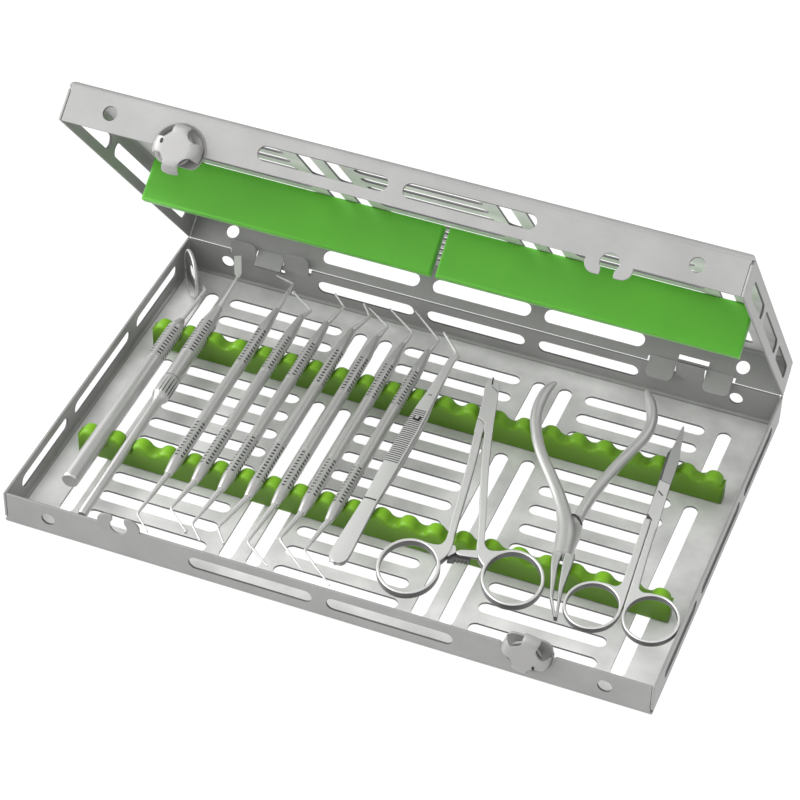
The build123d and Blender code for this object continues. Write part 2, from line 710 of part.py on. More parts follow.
half = make_shell()
save("tray_shell", half)
save("lid_shell", half, LID_PLACE)
save("tray_rack_front", make_rack(-1))
save("tray_rack_back", make_rack(1))
save("lid_bar_left", make_bar((-BAR_LEFT_STOP, RACK_LENGTH / 2)), LID_PLACE)
save("lid_bar_right", make_bar((-RACK_LENGTH / 2, -BAR_RIGHT_START)), LID_PLACE)
latch = Plane((LATCH_X, -BACK, HALF_HEIGHT), x_dir=(1, 0, 0), z_dir=(0, -1, 0)).location
cap = make_cap()
shaft = make_shaft()
for owner, place in (("tray", latch), ("lid", LID_PLACE * latch)):
    save(f"{owner}_knob_cap", cap, place)
    save(f"{owner}_knob_shaft", shaft, place)

handle = turned(HANDLE_START, handle_steps())
for name, seat, rear, front, point_r, balls in DOUBLE_ENDED:
    place = Pos(seat * SEAT_PITCH, 0, SEAT_Z)
    save(f"{name}_handle", handle, place)
    with BuildPart() as ends:
        for side, root_y, bend, point in (
            (1, HANDLE_STOP - KNUCKLE, *rear), (-1, HANDLE_START + KNUCKLE, *front),
        ):
            bend_at = (bend[0], side * (BACK - bend[1]), 0)
            point_at = (point[0], side * (BACK - point[1]), 0)
            add(wire([(0, root_y, 0), bend_at, point_at], [SHANK_R, BEND_R, point_r]))
            if balls:
                add(ball(*point_at[:2]))
        add(handle, mode=Mode.SUBTRACT)
    save(f"{name}_ends", ends.part, place)

mirror_axis = Vector(MIRROR_X, 0, DEEP_SEAT_Z)
mirror_handle = turned(MIRROR_START, mirror_steps()).moved(Pos(mirror_axis))
save("mirror_handle", mirror_handle)
mirror_bend = mirror_axis + Vector(MIRROR_BEND[0], BACK - MIRROR_BEND[1], MIRROR_BEND[2])
mirror_disc = mirror_axis + Vector(MIRROR_DISC[0], BACK - MIRROR_DISC[1], MIRROR_DISC[2])
disc = Plane(mirror_disc, z_dir=MIRROR_FACING)
with BuildPart() as mirror_head:
    root = mirror_axis + Vector(0, MIRROR_STOP - KNUCKLE, 0)
    neck = mirror_disc - Vector(*MIRROR_FACING) * (MIRROR_THICK / 2)
    add(wire([tuple(root), tuple(mirror_bend), tuple(neck)], [MIRROR_STEM_R] * 3))
    add(mirror_handle, mode=Mode.SUBTRACT)
    with BuildSketch(disc.offset(-MIRROR_THICK / 2)):
        RegularPolygon(MIRROR_R, 2 * ROUND_FLATS)
    extrude(amount=MIRROR_THICK)
    with BuildSketch(disc.offset(MIRROR_THICK / 2 - GLASS_DEPTH)):
        RegularPolygon(MIRROR_R - MIRROR_RIM, 2 * ROUND_FLATS)
    extrude(amount=MIRROR_THICK, mode=Mode.SUBTRACT)
save("mirror_head", mirror_head.part)
with BuildPart() as mirror_glass:
    with BuildSketch(disc.offset(MIRROR_THICK / 2 - GLASS_DEPTH)):
        RegularPolygon(MIRROR_R - MIRROR_RIM - GLASS_GAP, 2 * ROUND_FLATS)
    extrude(amount=GLASS_DEPTH - GLASS_GAP)
save("mirror_glass", mirror_glass.part)

blade_place = Pos(BLADE_X, BLADE_SEAT_Y, DEEP_SEAT_Z) * Rot(BLADE_TILT, 0, 0)
blade_start = BLADE_FRONT_IN - BACK - BLADE_SEAT_Y
blade_rod = -BLADE_COLLAR_BACK - blade_start - BLADE_CHAMFER[0]
blade_steps = [(*BLADE_CHAMFER, BLADE_ROD_R), (blade_rod, BLADE_ROD_R, BLADE_ROD_R), *BLADE_STEPS]
blade_handle = turned(blade_start, blade_steps).moved(blade_place)
save("blade_handle", blade_handle)
blade_stop = sum(step[0] for step in BLADE_STEPS) - BLADE_COLLAR_BACK
stem_start = (blade_place * Pos(0, blade_stop - KNUCKLE, 0)).position
blade_root = Vector(BLADE_X + BLADE_ROOT[0], BACK - BLADE_ROOT[1], BLADE_ROOT[2])
blade_point = Vector(BLADE_X + BLADE_POINT[0], BACK - BLADE_POINT[1], BLADE_POINT[2])
blade_run = blade_point - blade_root
across = Vector(*BLADE_ACROSS)
blade_plane = Plane(blade_root, x_dir=across, z_dir=across.cross(blade_run))
with BuildPart() as blade_tip:
    add(wire([tuple(stem_start), tuple(blade_root)], [SHANK_R, BEND_R]))
    add(blade_handle, mode=Mode.SUBTRACT)
    with BuildSketch(blade_plane.offset(-BLADE_SHEET / 2)):
        with BuildLine():
            right = [(BEND_R, -BEND_R), (BLADE_WIDE / 2, BLADE_WIDE / 2), (BLADE_WIDE / 2, blade_run.length)]
            Polyline(*right, *[(-x, y) for x, y in reversed(right)], close=True)
        make_face()
    extrude(amount=BLADE_SHEET)
save("blade_tip", blade_tip.part)

for name, heights in (("tweezers_arm_low", ARM_LOW), ("tweezers_arm_high", ARM_HIGH)):
    below = [(y, z - ARM_SHEET / 2) for y, z in heights]
    above = [(y, z + ARM_SHEET / 2) for y, z in reversed(heights)]
    with BuildPart() as arm:
        with BuildSketch(Plane.YZ):
            with BuildLine():
                Polyline(*below, *above, close=True)
            make_face()
        extrude(amount=BLOCK_SLOT / 2, both=True)
        with BuildSketch():
            add(strip(TWEEZERS_PLAN))
        extrude(amount=2 * HALF_HEIGHT, mode=Mode.INTERSECT)
        if heights is ARM_HIGH:
            with BuildSketch():
                with Locations(Pos(0, ARM_SLOT_Y) * Rot(0, 0, 90)):
                    add(slot_outline(ARM_SLOT, 2 * ARM_HOLE_R))
                with Locations((0, ARM_HOLE_Y)):
                    RegularPolygon(ARM_HOLE_R, ROUND_FLATS)
            extrude(amount=2 * HALF_HEIGHT, mode=Mode.SUBTRACT)
    save(name, arm.part)


place = Pos(*HOLDER_AT) * Rot(0, 0, HOLDER_TURN)
with BuildSketch() as holder_lap:
    RegularPolygon(HOLDER_LAP_R + LAP_SIDE, ROUND_FLATS)
with BuildSketch() as holder_plate:
    RegularPolygon(HOLDER_LAP_R - LAP_SIDE, ROUND_FLATS)
with BuildSketch() as holder_shank:
    add(strip(HOLDER_SHANK))
    add(finger_ring(*HOLDER_RING))
with BuildSketch() as holder_half:
    add(strip(HOLDER_JAW))
    add(holder_shank.sketch)
with BuildPart() as holder_left:
    add(lapped(holder_half.sketch, holder_plate.sketch, holder_lap.sketch, HOLDER_THICK, HOLDER_PIN_R, False))
    add(ratchet(-1, False))
with BuildPart() as holder_right:
    other_half = mirrored(holder_half.sketch)
    add(lapped(other_half, holder_plate.sketch, holder_lap.sketch, HOLDER_THICK, HOLDER_PIN_R, True))
    add(ratchet(1, True))
save("holder_left", holder_left.part, place)
save("holder_right", holder_right.part, place)
save("holder_pin", pin(HOLDER_PIN_R, HOLDER_THICK), place)

place = Pos(*PLIERS_AT)
with BuildSketch() as pliers_lap:
    RegularPolygon(PLIERS_LAP_R + LAP_SIDE, ROUND_FLATS)
with BuildSketch() as pliers_plate:
    Rectangle(*PLIERS_PLATE)
with BuildSketch() as pliers_moving:
    add(strip(PLIERS_RIGHT))
    add(strip(BEAK_LEFT))
with BuildSketch() as pliers_fixed:
    add(strip(PLIERS_LEFT))
    add(strip(BEAK_RIGHT))
for name, outline, upper in (("pliers_right", pliers_moving, True), ("pliers_left", pliers_fixed, False)):
    body = lapped(outline.sketch, pliers_plate.sketch, pliers_lap.sketch, PLIERS_THICK, PLIERS_PIN_R, upper)
    save(name, body, place)
save("pliers_pin", pin(PLIERS_PIN_R, PLIERS_THICK), place)

place = Pos(*SCISSORS_AT) * Rot(0, 0, SCISSORS_TURN)
with BuildSketch() as scissors_lap:
    with Locations((0, SCISSORS_LAP + LENGTH / 2)):
        Rectangle(SCISSORS_RING[2], LENGTH)
with BuildSketch() as scissors_shank:
    add(strip(SCISSORS_SHANK))
    add(finger_ring(*SCISSORS_RING))
for name, blade, upper in (("scissors_left", BLADE_LOWER, False), ("scissors_right", BLADE_UPPER, True)):
    with BuildSketch() as scissors_blade:
        with BuildLine():
            Polyline(*blade, close=True)
        make_face()
    shank = mirrored(scissors_shank.sketch) if upper else scissors_shank.sketch
    with BuildSketch() as outline:
        add(scissors_blade.sketch)
        add(shank)
    lap = scissors_lap.sketch
    body = lapped(outline.sketch, scissors_blade.sketch, lap, SCISSORS_THICK, SCISSORS_PIN_R, upper)
    save(name, body, place)
save("scissors_pin", pin(SCISSORS_PIN_R, SCISSORS_THICK), place)
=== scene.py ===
# %% [markdown]
# # Dental instrument cassette
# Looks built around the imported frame. Lengths are in millimetres until a piece is finished, then in metres.

# %%
from math import atan2, cos, degrees, pi, radians, sin, sqrt

import bmesh
import bpy
from mathutils import Matrix, Vector


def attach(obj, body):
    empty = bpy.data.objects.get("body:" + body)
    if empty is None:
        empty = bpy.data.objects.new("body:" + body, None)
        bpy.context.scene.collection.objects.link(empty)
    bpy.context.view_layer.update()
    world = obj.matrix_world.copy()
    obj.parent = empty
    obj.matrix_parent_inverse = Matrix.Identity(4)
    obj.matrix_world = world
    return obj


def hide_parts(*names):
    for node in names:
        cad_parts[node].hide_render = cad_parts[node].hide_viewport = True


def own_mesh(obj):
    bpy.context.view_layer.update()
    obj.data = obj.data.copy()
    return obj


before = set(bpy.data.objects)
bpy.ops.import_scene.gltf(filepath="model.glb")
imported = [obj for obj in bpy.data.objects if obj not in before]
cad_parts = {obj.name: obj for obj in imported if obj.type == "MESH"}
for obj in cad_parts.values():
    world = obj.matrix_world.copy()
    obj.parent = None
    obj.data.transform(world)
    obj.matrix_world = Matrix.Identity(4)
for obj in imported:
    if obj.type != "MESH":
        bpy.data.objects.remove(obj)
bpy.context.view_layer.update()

# %% [markdown]
# ## Sizes shared with the CAD part

# %%
MM = 0.001
LENGTH, DEPTH, HALF_HEIGHT, SHEET = 280.0, 182.0, 17.0, 1.0
BEND, RIM = 2.5, 16.9
END, BACK = LENGTH / 2, DEPTH / 2
SLOT = 6.1
EDGE = 0.12
LID_OPEN = 51.53
SEAT_PITCH, SEAT_Z = 12.0, 14.0

STAND_LID = (
    Matrix.Translation((0, BACK, HALF_HEIGHT))
    @ Matrix.Rotation(radians(-LID_OPEN), 4, "X")
    @ Matrix.Translation((0, -BACK, -HALF_HEIGHT))
)
LID = STAND_LID @ Matrix.Translation((0, 0, 2 * HALF_HEIGHT)) @ Matrix.Rotation(pi, 4, "Y")
TRAY = Matrix.Identity(4)


def raised(place, z):
    """A place moved up along its own Z."""
    return place @ Matrix.Translation((0, 0, z))


# %% [markdown]
# ## Shader graphs written as sums

# %%
class Wire:
    """One output socket. Arithmetic on it adds math nodes."""

    def __init__(self, tree, socket):
        self.tree = tree
        self.socket = socket

    def math(self, operation, other=None, swap=False, clamp=False):
        node = self.tree.nodes.new("ShaderNodeMath")
        node.operation = operation
        node.use_clamp = clamp
        join(self.tree, self, node.inputs[1 if swap else 0])
        if other is not None:
            join(self.tree, other, node.inputs[0 if swap else 1])
        return Wire(self.tree, node.outputs[0])

    def __add__(self, other):
        return self.math("ADD", other)

    def __mul__(self, other):
        return self.math("MULTIPLY", other)

    def __sub__(self, other):
        return self.math("SUBTRACT", other)

    def __rsub__(self, other):
        return self.math("SUBTRACT", other, swap=True)

    def __truediv__(self, other):
        return self.math("DIVIDE", other)

    __radd__ = __add__
    __rmul__ = __mul__


def join(tree, value, target):
    """Links a wire to an input, or sets the input to a plain value."""
    if isinstance(value, Wire):
        tree.links.new(value.socket, target)
    else:
        target.default_value = value


def place_of(tree, stretch=(1, 1, 1)):
    """Object coordinates, stretched along each axis."""
    coords = tree.nodes.new("ShaderNodeTexCoord")
    scale = tree.nodes.new("ShaderNodeMapping")
    scale.inputs["Scale"].default_value = stretch
    tree.links.new(coords.outputs["Object"], scale.inputs["Vector"])
    return Wire(tree, scale.outputs["Vector"])


def noise(tree, place, scale, detail=2.0):
    """A noise value around 0, from about -0.5 to 0.5."""
    node = tree.nodes.new("ShaderNodeTexNoise")
    node.inputs["Scale"].default_value = scale
    node.inputs["Detail"].default_value = detail
    join(tree, place, node.inputs["Vector"])
    return Wire(tree, node.outputs["Fac"]) - 0.5


def tinted(tree, value, tone):
    """A colour that is tone times a grey value."""
    mix = tree.nodes.new("ShaderNodeCombineColor")
    for channel, share in zip(("Red", "Green", "Blue"), tone):
        join(tree, value * share, mix.inputs[channel])
    return Wire(tree, mix.outputs["Color"])


def material(name):
    """An empty material with its Principled shader."""
    made = bpy.data.materials.new(name)
    made.use_nodes = True
    return made, made.node_tree, made.node_tree.nodes["Principled BSDF"]


CLOUD_SCALE, GRAIN_SCALE = 55, 1400
GRAIN_TONE, CLOUD_ROUGH = 0.1, 0.12


def steel(name, tone, rough, grain=(1, 1, 1), blotch=0.1, metal=1.0):
    """Satin steel: fine grain, faint clouds and a little unevenness in its gloss."""
    made, tree, shader = material(name)
    cloud = noise(tree, place_of(tree), CLOUD_SCALE, 3)
    fine = noise(tree, place_of(tree, grain), GRAIN_SCALE, 2)
    value = 1.0 + cloud * blotch + fine * GRAIN_TONE
    join(tree, tinted(tree, value, tone), shader.inputs["Base Color"])
    shader.inputs["Metallic"].default_value = metal
    join(tree, cloud * CLOUD_ROUGH + rough, shader.inputs["Roughness"])
    return made


SMUDGE_SCALE, SMUDGE_TONE = 40, 0.25
# Painted light on the racks: darker at the foot, paler towards the crests.
FOOT_PAINTED_SHADE, CREST_PAINTED_LIGHT = 0.72, 0.85


def silicone(name, tone, glow, foot=0.0, depth=0.0):
    """Soft translucent silicone with a matt skin. Given a depth in metres, it gets paler from its foot up:
    painted shade at the foot, painted light towards the crests.
    """
    made, tree, shader = material(name)
    value = 1.0 + noise(tree, place_of(tree), SMUDGE_SCALE, 2) * SMUDGE_TONE
    # Painted shade low down and painted light higher up, by height.
    if depth:
        split = tree.nodes.new("ShaderNodeSeparateXYZ")
        join(tree, place_of(tree), split.inputs["Vector"])
        rise = ((Wire(tree, split.outputs["Z"]) - foot) / depth).math("MULTIPLY", 1.0, clamp=True)
        value = value * (FOOT_PAINTED_SHADE + rise * rise * CREST_PAINTED_LIGHT)
    join(tree, tinted(tree, value, tone), shader.inputs["Base Color"])
    shader.inputs["Roughness"].default_value = 0.38
    shader.inputs["Specular IOR Level"].default_value = 0.35
    shader.inputs["Subsurface Weight"].default_value = glow
    shader.inputs["Subsurface Radius"].default_value = (0.006, 0.012, 0.003)
    shader.inputs["Subsurface Scale"].default_value = 0.6
    return made


# The same sheet steel in two copies: a darker one for walls, folds, tabs and pocket, painted shade, and a
# lighter one for the floor plate, painted light.
SHELL_SHADED_STEEL = steel("shell_satin_painted_shade", (0.3, 0.298, 0.294), 0.42, blotch=0.35, metal=0.25)
FLOOR_LIT_STEEL = steel("floor_satin_painted_light", (0.7, 0.696, 0.69), 0.42, blotch=0.8, metal=0.25)
HANDLE_STEEL = steel("handle_satin", (0.5, 0.496, 0.49), 0.3, (1, 0.2, 1), 0.05, 0.6)
TOOL_STEEL = steel("tool_satin", (0.62, 0.616, 0.61), 0.33, blotch=0.06, metal=0.4)
POINT_STEEL = steel("point_polish", (0.52, 0.518, 0.512), 0.28, blotch=0.05, metal=0.4)
FORGED_STEEL = steel("forged_satin", (0.62, 0.616, 0.61), 0.3, blotch=0.06, metal=0.7)
KNOB_STEEL = steel("knob_satin", (0.33, 0.327, 0.322), 0.36, metal=0.25)
# Painted shade in knurl grooves, ridge grooves, slits, gaps, sockets and a dimple; also the colour of stamped
# marks.
SHADE_AND_STAMP_STEEL = steel("painted_shade_and_stamp", (0.05, 0.05, 0.05), 0.5, blotch=0.05)
# Painted shade on the walls of the slots and holes.
CUT_EDGE_SHADE_STEEL = steel("cut_edge_painted_shade", (0.1, 0.1, 0.1), 0.5, metal=0.3)
# Painted shade on the upright sides of the forged and flat tools.
SIDE_SHADE_STEEL = steel("forged_side_painted_shade", (0.14, 0.14, 0.14), 0.38, metal=0.5)
GROUND_STEEL = steel("ground_face", (0.42, 0.42, 0.42), 0.4, metal=0.5)
# The racks carry painted shade at the foot and painted light at the crests.
RACK_GREEN = silicone("rack_green", (0.115, 0.26, 0.008), 0.15, foot=0.003, depth=0.0125)
BAR_GREEN = silicone("bar_green", (0.1, 0.4, 0.03), 0.4)
MIRROR_GLASS, _, mirror_shader = material("mirror_front")
mirror_shader.inputs["Metallic"].default_value = 1.0
mirror_shader.inputs["Roughness"].default_value = 0.04
mirror_shader.inputs["Base Color"].default_value = (0.8, 0.8, 0.8, 1)


# %% [markdown]
# ## Outlines
# Each is a list of points in a piece's own plane.

# %%
def arc(x, y, radius, start, end, steps=8):
    """Points along an arc, angles in degrees."""
    turns = [radians(start + (end - start) * k / steps) for k in range(steps + 1)]
    return [(x + radius * cos(t), y + radius * sin(t)) for t in turns]


def slot(x, y, length, width=SLOT, upright=False):
    """A round-ended slot."""
    reach = (length - width) / 2
    if upright:
        return arc(x, y + reach, width / 2, 0, 180) + arc(x, y - reach, width / 2, 180, 360)
    return arc(x + reach, y, width / 2, -90, 90) + arc(x - reach, y, width / 2, 90, 270)


def disc(x, y, radius, steps=32):
    """A full circle."""
    return arc(x, y, radius, 0, 360, steps)[:-1]


def rectangle(x0, y0, x1, y1):
    """A plain rectangle."""
    return [(x0, y0), (x1, y0), (x1, y1), (x0, y1)]


def oval(x, y, wide, long, steps=48):
    """An ellipse."""
    turns = [2 * pi * k / steps for k in range(steps)]
    return [(x + wide / 2 * cos(t), y + long / 2 * sin(t)) for t in turns]


def smooth(points, steps=4):
    """A curved line through points, as Catmull-Rom spans."""
    held = [Vector(p) for p in (points[0], *points, points[-1])]
    line = []
    for a, b, c, d in zip(held, held[1:], held[2:], held[3:]):
        for k in range(steps):
            t = k / steps
            turn = (a * 2 - b * 5 + c * 4 - d) * t**2 + (b * 3 - a - c * 3 + d) * t**3
            line.append(tuple((b * 2 + (c - a) * t + turn) * 0.5))
    return [*line, points[-1]]


def strip(spine):
    """The outline of a flat bar along points that carry a half width."""
    left, right = [], []
    for k, (x, y, half) in enumerate(spine):
        before, after = Vector(spine[max(k - 1, 0)][:2]), Vector(spine[min(k + 1, len(spine) - 1)][:2])
        along = (after - before).normalized()
        left.append((x - along.y * half, y + along.x * half))
        right.append((x + along.y * half, y - along.x * half))
    return left + right[::-1]


# %% [markdown]
# ## Shapes
# Curves give tubes and plates, a mapped grid gives free surfaces. An index is a material's place in the
# piece's list: 0 is its main one.

# %%
UPRIGHT, ON_LINE = 0.4, 0.3


def near(point, outline):
    """Whether a point lies on the line of an outline."""
    spot = Vector(point[:2])
    for a, b in zip(outline, (*outline[1:], outline[0])):
        a, b = Vector(a), Vector(b)
        run = b - a
        share = min(1.0, max(0.0, (spot - a).dot(run) / max(run.length_squared, 1e-9)))
        if (a + run * share - spot).length < ON_LINE:
            return True
    return False


class Shape:
    """Meshes gathered in one piece."""

    def __init__(self):
        self.bm = bmesh.new()

    def add_mesh(self, mesh, place, index=0, side=None, outline=None):
        """Takes a mesh in. Side is the index of its upright faces: all, or only those off the outline."""
        for face in mesh.polygons:
            face.material_index += index
            if side is not None and abs(face.normal.z) < UPRIGHT:
                if outline is None or not near(face.center, outline):
                    face.material_index = side
        mesh.transform(place)
        self.bm.from_mesh(mesh)
        bpy.data.meshes.remove(mesh)

    def add_curve(self, curve, place, index=0, side=None, outline=None):
        """Takes a curve in as a mesh."""
        draft = bpy.data.objects.new("draft", curve)
        bpy.context.scene.collection.objects.link(draft)
        view = bpy.context.evaluated_depsgraph_get()
        mesh = bpy.data.meshes.new_from_object(draft.evaluated_get(view))
        for face in mesh.polygons:
            face.material_index = 0
        self.add_mesh(mesh, place, index, side, outline)
        bpy.data.objects.remove(draft)
        bpy.data.curves.remove(curve)

    def tube(self, points, radii, place=TRAY, flat=1.0, soft=False, closed=False, sides=24, index=0):
        """A round bar through points with a radius at each. Flat is its height over its width."""
        curve = bpy.data.curves.new("draft", "CURVE")
        curve.dimensions = "3D"
        curve.bevel_depth = 1.0
        curve.bevel_resolution = sides // 4 - 1
        curve.use_fill_caps = True
        spline = curve.splines.new("NURBS" if soft else "POLY")
        spline.points.add(len(points) - 1)
        for k, (point, radius) in enumerate(zip(points, radii)):
            spline.points[k].co = (*point, 1) if len(point) == 3 else (*point, 0, 1)
            spline.points[k].radius = radius
        spline.use_cyclic_u = closed
        if soft:
            spline.order_u = 3
            spline.use_endpoint_u = True
            spline.resolution_u = 6
        self.add_curve(curve, place @ Matrix.Diagonal((1, 1, flat, 1)), index)

    def plate(self, outline, holes=(), thick=SHEET, edge=EDGE, place=TRAY, index=0, side=None, cut=None,
              steps=1):
        """A flat plate with holes and broken edges, centred on its own plane.
        Side is the index of all its walls, cut that of the holes' walls alone."""
        curve = bpy.data.curves.new("draft", "CURVE")
        curve.dimensions = "2D"
        curve.fill_mode = "BOTH"
        curve.extrude = thick / 2 - edge
        curve.bevel_depth = edge
        curve.bevel_resolution = steps
        curve.offset = -edge
        for loop in (outline, *holes):
            spline = curve.splines.new("POLY")
            spline.points.add(len(loop) - 1)
            for k, point in enumerate(loop):
                spline.points[k].co = (*point, 0, 1)
            spline.use_cyclic_u = True
        if cut is None:
            self.add_curve(curve, place, index, side)
        else:
            self.add_curve(curve, place, index, cut, outline)

    def mark(self, outline, place, index):
        """A hair-thin inlay that reads as a joint line or a stamped dot; dark ones are mostly painted shade in
        slits, dimples and sockets and along lap and step lines.
        """
        self.plate(outline, thick=0.1, edge=0.02, place=place, index=index)

    def surface(self, across, along, where, thick=0.0, place=TRAY, index=0, paint=None, side=None):
        """A grid of across x along cells. Where gives each corner's place for its u and v from 0 to 1, and
        paint gives a cell's index from the u and v of its middle."""
        patch = bmesh.new()
        bmesh.ops.create_grid(patch, x_segments=across, y_segments=along, size=0.5)
        for face in patch.faces:
            middle = face.calc_center_median()
            face.material_index = paint(middle.x + 0.5, middle.y + 0.5) if paint else 0
        for v in patch.verts:
            v.co = Vector(where(v.co.x + 0.5, v.co.y + 0.5))
        bmesh.ops.remove_doubles(patch, verts=patch.verts, dist=0.001)
        bmesh.ops.recalc_face_normals(patch, faces=patch.faces)
        if thick:
            bmesh.ops.solidify(patch, geom=patch.faces, thickness=thick)
        mesh = bpy.data.meshes.new("draft")
        patch.to_mesh(mesh)
        patch.free()
        self.add_mesh(mesh, place, index, side)

    def turned(self, profile, place=TRAY, sides=40, index=0):
        """A turned piece along Y from (y, radius) points."""
        def where(u, v):
            y, radius = profile[round(v * (len(profile) - 1))]
            return radius * cos(2 * pi * u), y, radius * sin(2 * pi * u)

        self.surface(sides, len(profile) - 1, where, place=place, index=index)

    def done(self, name, body, materials, nodes, sharp=40):
        """Makes the piece, puts it on its body and lets it stand for its CAD nodes. Edges over the sharp
        angle stay sharp."""
        mesh = bpy.data.meshes.new(name)
        bmesh.ops.scale(self.bm, vec=(MM, MM, MM), verts=self.bm.verts)
        self.bm.to_mesh(mesh)
        self.bm.free()
        for face in mesh.polygons:
            face.use_smooth = True
        mesh.set_sharp_from_angle(angle=radians(sharp))
        for one in materials:
            mesh.materials.append(one)
        piece = bpy.data.objects.new(name, mesh)
        bpy.context.scene.collection.objects.link(piece)
        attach(piece, body)
        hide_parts(*nodes)
        return piece


# %% [markdown]
# ## The two perforated halves

# %%
ROW_PITCH, ROWS_EACH_SIDE, BLOCK_PITCH, BLOCK_SLOT = 12.25, 6, 84.5, 54.2
COLUMNS = (36.2, 48.2, 120.5)
COLUMN_MID, COLUMN_END, COLUMN_BRIDGE = 54.6, 42.5, 6.7
COLUMN_OUT = COLUMN_MID / 2 + COLUMN_BRIDGE + COLUMN_END / 2
WALL_SLOT_Z = 9.5
WALL_HOLE_X, WALL_HOLE_R = 120.0, 3.0
FRONT_SLOT, FRONT_SLOT_X = 53.9, 30.05
REAR_SLOT, REAR_SLOT_PITCH = 46.2, 52.5
SEAM, SEAM_LOW, SEAM_HIGH = 0.3, 4.0, 4.6
END_IN, END_LOW, END_HIGH = 0.9, 3.6, 4.4
LATCH_X, POCKET_R, HINGE_X = 88.0, 11.3, 98.7
TAB_CORNER, TAB_AWAY, TAB_ROOM = 4.0, 12.8, 2.0
PLAIN_TAB, LIP_TAB = (12.0, 7.2), (12.7, 5.2)
HINGE_TABS = [(HINGE_X, *LIP_TAB), (-HINGE_X + TAB_AWAY, *PLAIN_TAB), (-HINGE_X - TAB_AWAY, *PLAIN_TAB)]
LIP_SLOT = (-HINGE_X - 6.9, 10.95, -HINGE_X + 6.9, 13.05)
# Material places on a half: 1 is painted shade on the holes' walls, 2 is the floor plate's lighter steel,
# painted light.
CUT, FLOOR = 1, 2
FRONT = Matrix.Translation((0, -BACK + SHEET / 2, 0)) @ Matrix.Rotation(pi / 2, 4, "X")
REAR = Matrix.Translation((0, BACK - SHEET / 2, 0)) @ Matrix.Rotation(pi / 2, 4, "X")
SIDE = Matrix.Rotation(pi / 2, 4, "Z") @ Matrix.Rotation(pi / 2, 4, "X")


def wall_outline(rim):
    """A long wall's outline: square below, set in by the seam above, with the given points along its rim."""
    out = END - SHEET
    low = [(-out, BEND), (out, BEND), (out, SEAM_LOW), (out - SEAM, SEAM_HIGH), (out - SEAM, RIM)]
    return low + rim + [(SEAM - out, RIM), (SEAM - out, SEAM_HIGH), (-out, SEAM_LOW)]


def end_wall_outline():
    """A short wall's outline, cut in at the foot to clear the folds."""
    low = [(-BACK + END_IN, BEND), (BACK - END_IN, BEND), (BACK - END_IN, END_LOW), (BACK, END_HIGH)]
    return low + [(BACK, RIM), (-BACK, RIM), (-BACK, END_HIGH), (-BACK + END_IN, END_LOW)]


def notch(x, wide, deep=2.0):
    """A relief cut in the rim, from right to left."""
    right, left = x + wide / 2, x - wide / 2
    return [(right, RIM), (right, RIM - deep), (left, RIM - deep), (left, RIM)]


def front_rim():
    """The pocket of the turning latch on the right and the split clip on the left."""
    hole_r, mouth, lead_in = 3.85, 2.75, 0.6
    clip_half, clip_top = 9.35, HALF_HEIGHT + 5.3
    turn = 90 - degrees(atan2(mouth, sqrt(hole_r**2 - mouth**2)))
    x = -LATCH_X
    pocket = arc(LATCH_X, HALF_HEIGHT, POCKET_R, 0, -180, 32)
    clip = [(x + clip_half, RIM)]
    clip += arc(x + clip_half - TAB_CORNER, clip_top - TAB_CORNER, TAB_CORNER, 0, 90)
    clip += arc(x + mouth + lead_in, clip_top - lead_in, lead_in, 90, 180, 4)
    clip += arc(x, HALF_HEIGHT, hole_r, turn, -180 - turn, 28)
    clip += arc(x - mouth - lead_in, clip_top - lead_in, lead_in, 0, 90, 4)
    clip += arc(x - clip_half + TAB_CORNER, clip_top - TAB_CORNER, TAB_CORNER, 90, 180)
    return pocket + clip + [(x - clip_half, RIM)]


def fold(target, place, half_run, half_width):
    """One rounded fold along the floor's edge, mitred at the corners. It runs along X at y = -half_width."""
    def where(u, v):
        turn = pi / 2 * v
        inward = BEND - BEND * sin(turn)
        return (2 * u - 1) * (half_run - inward), -half_width + inward, BEND - BEND * cos(turn)

    target.surface(1, 8, where, thick=SHEET, place=place)


def floor_holes():
    """Three blocks of cross slots, and long slots between and beside them."""
    rows = range(-ROWS_EACH_SIDE, ROWS_EACH_SIDE + 1)
    holes = [slot(block * BLOCK_PITCH, row * ROW_PITCH, BLOCK_SLOT) for block in (-1, 0, 1) for row in rows]
    for column in COLUMNS:
        for x in (-column, column):
            holes.append(slot(x, 0, COLUMN_MID, upright=True))
            holes += [slot(x, side * COLUMN_OUT, COLUMN_END, upright=True) for side in (-1, 1)]
    return holes


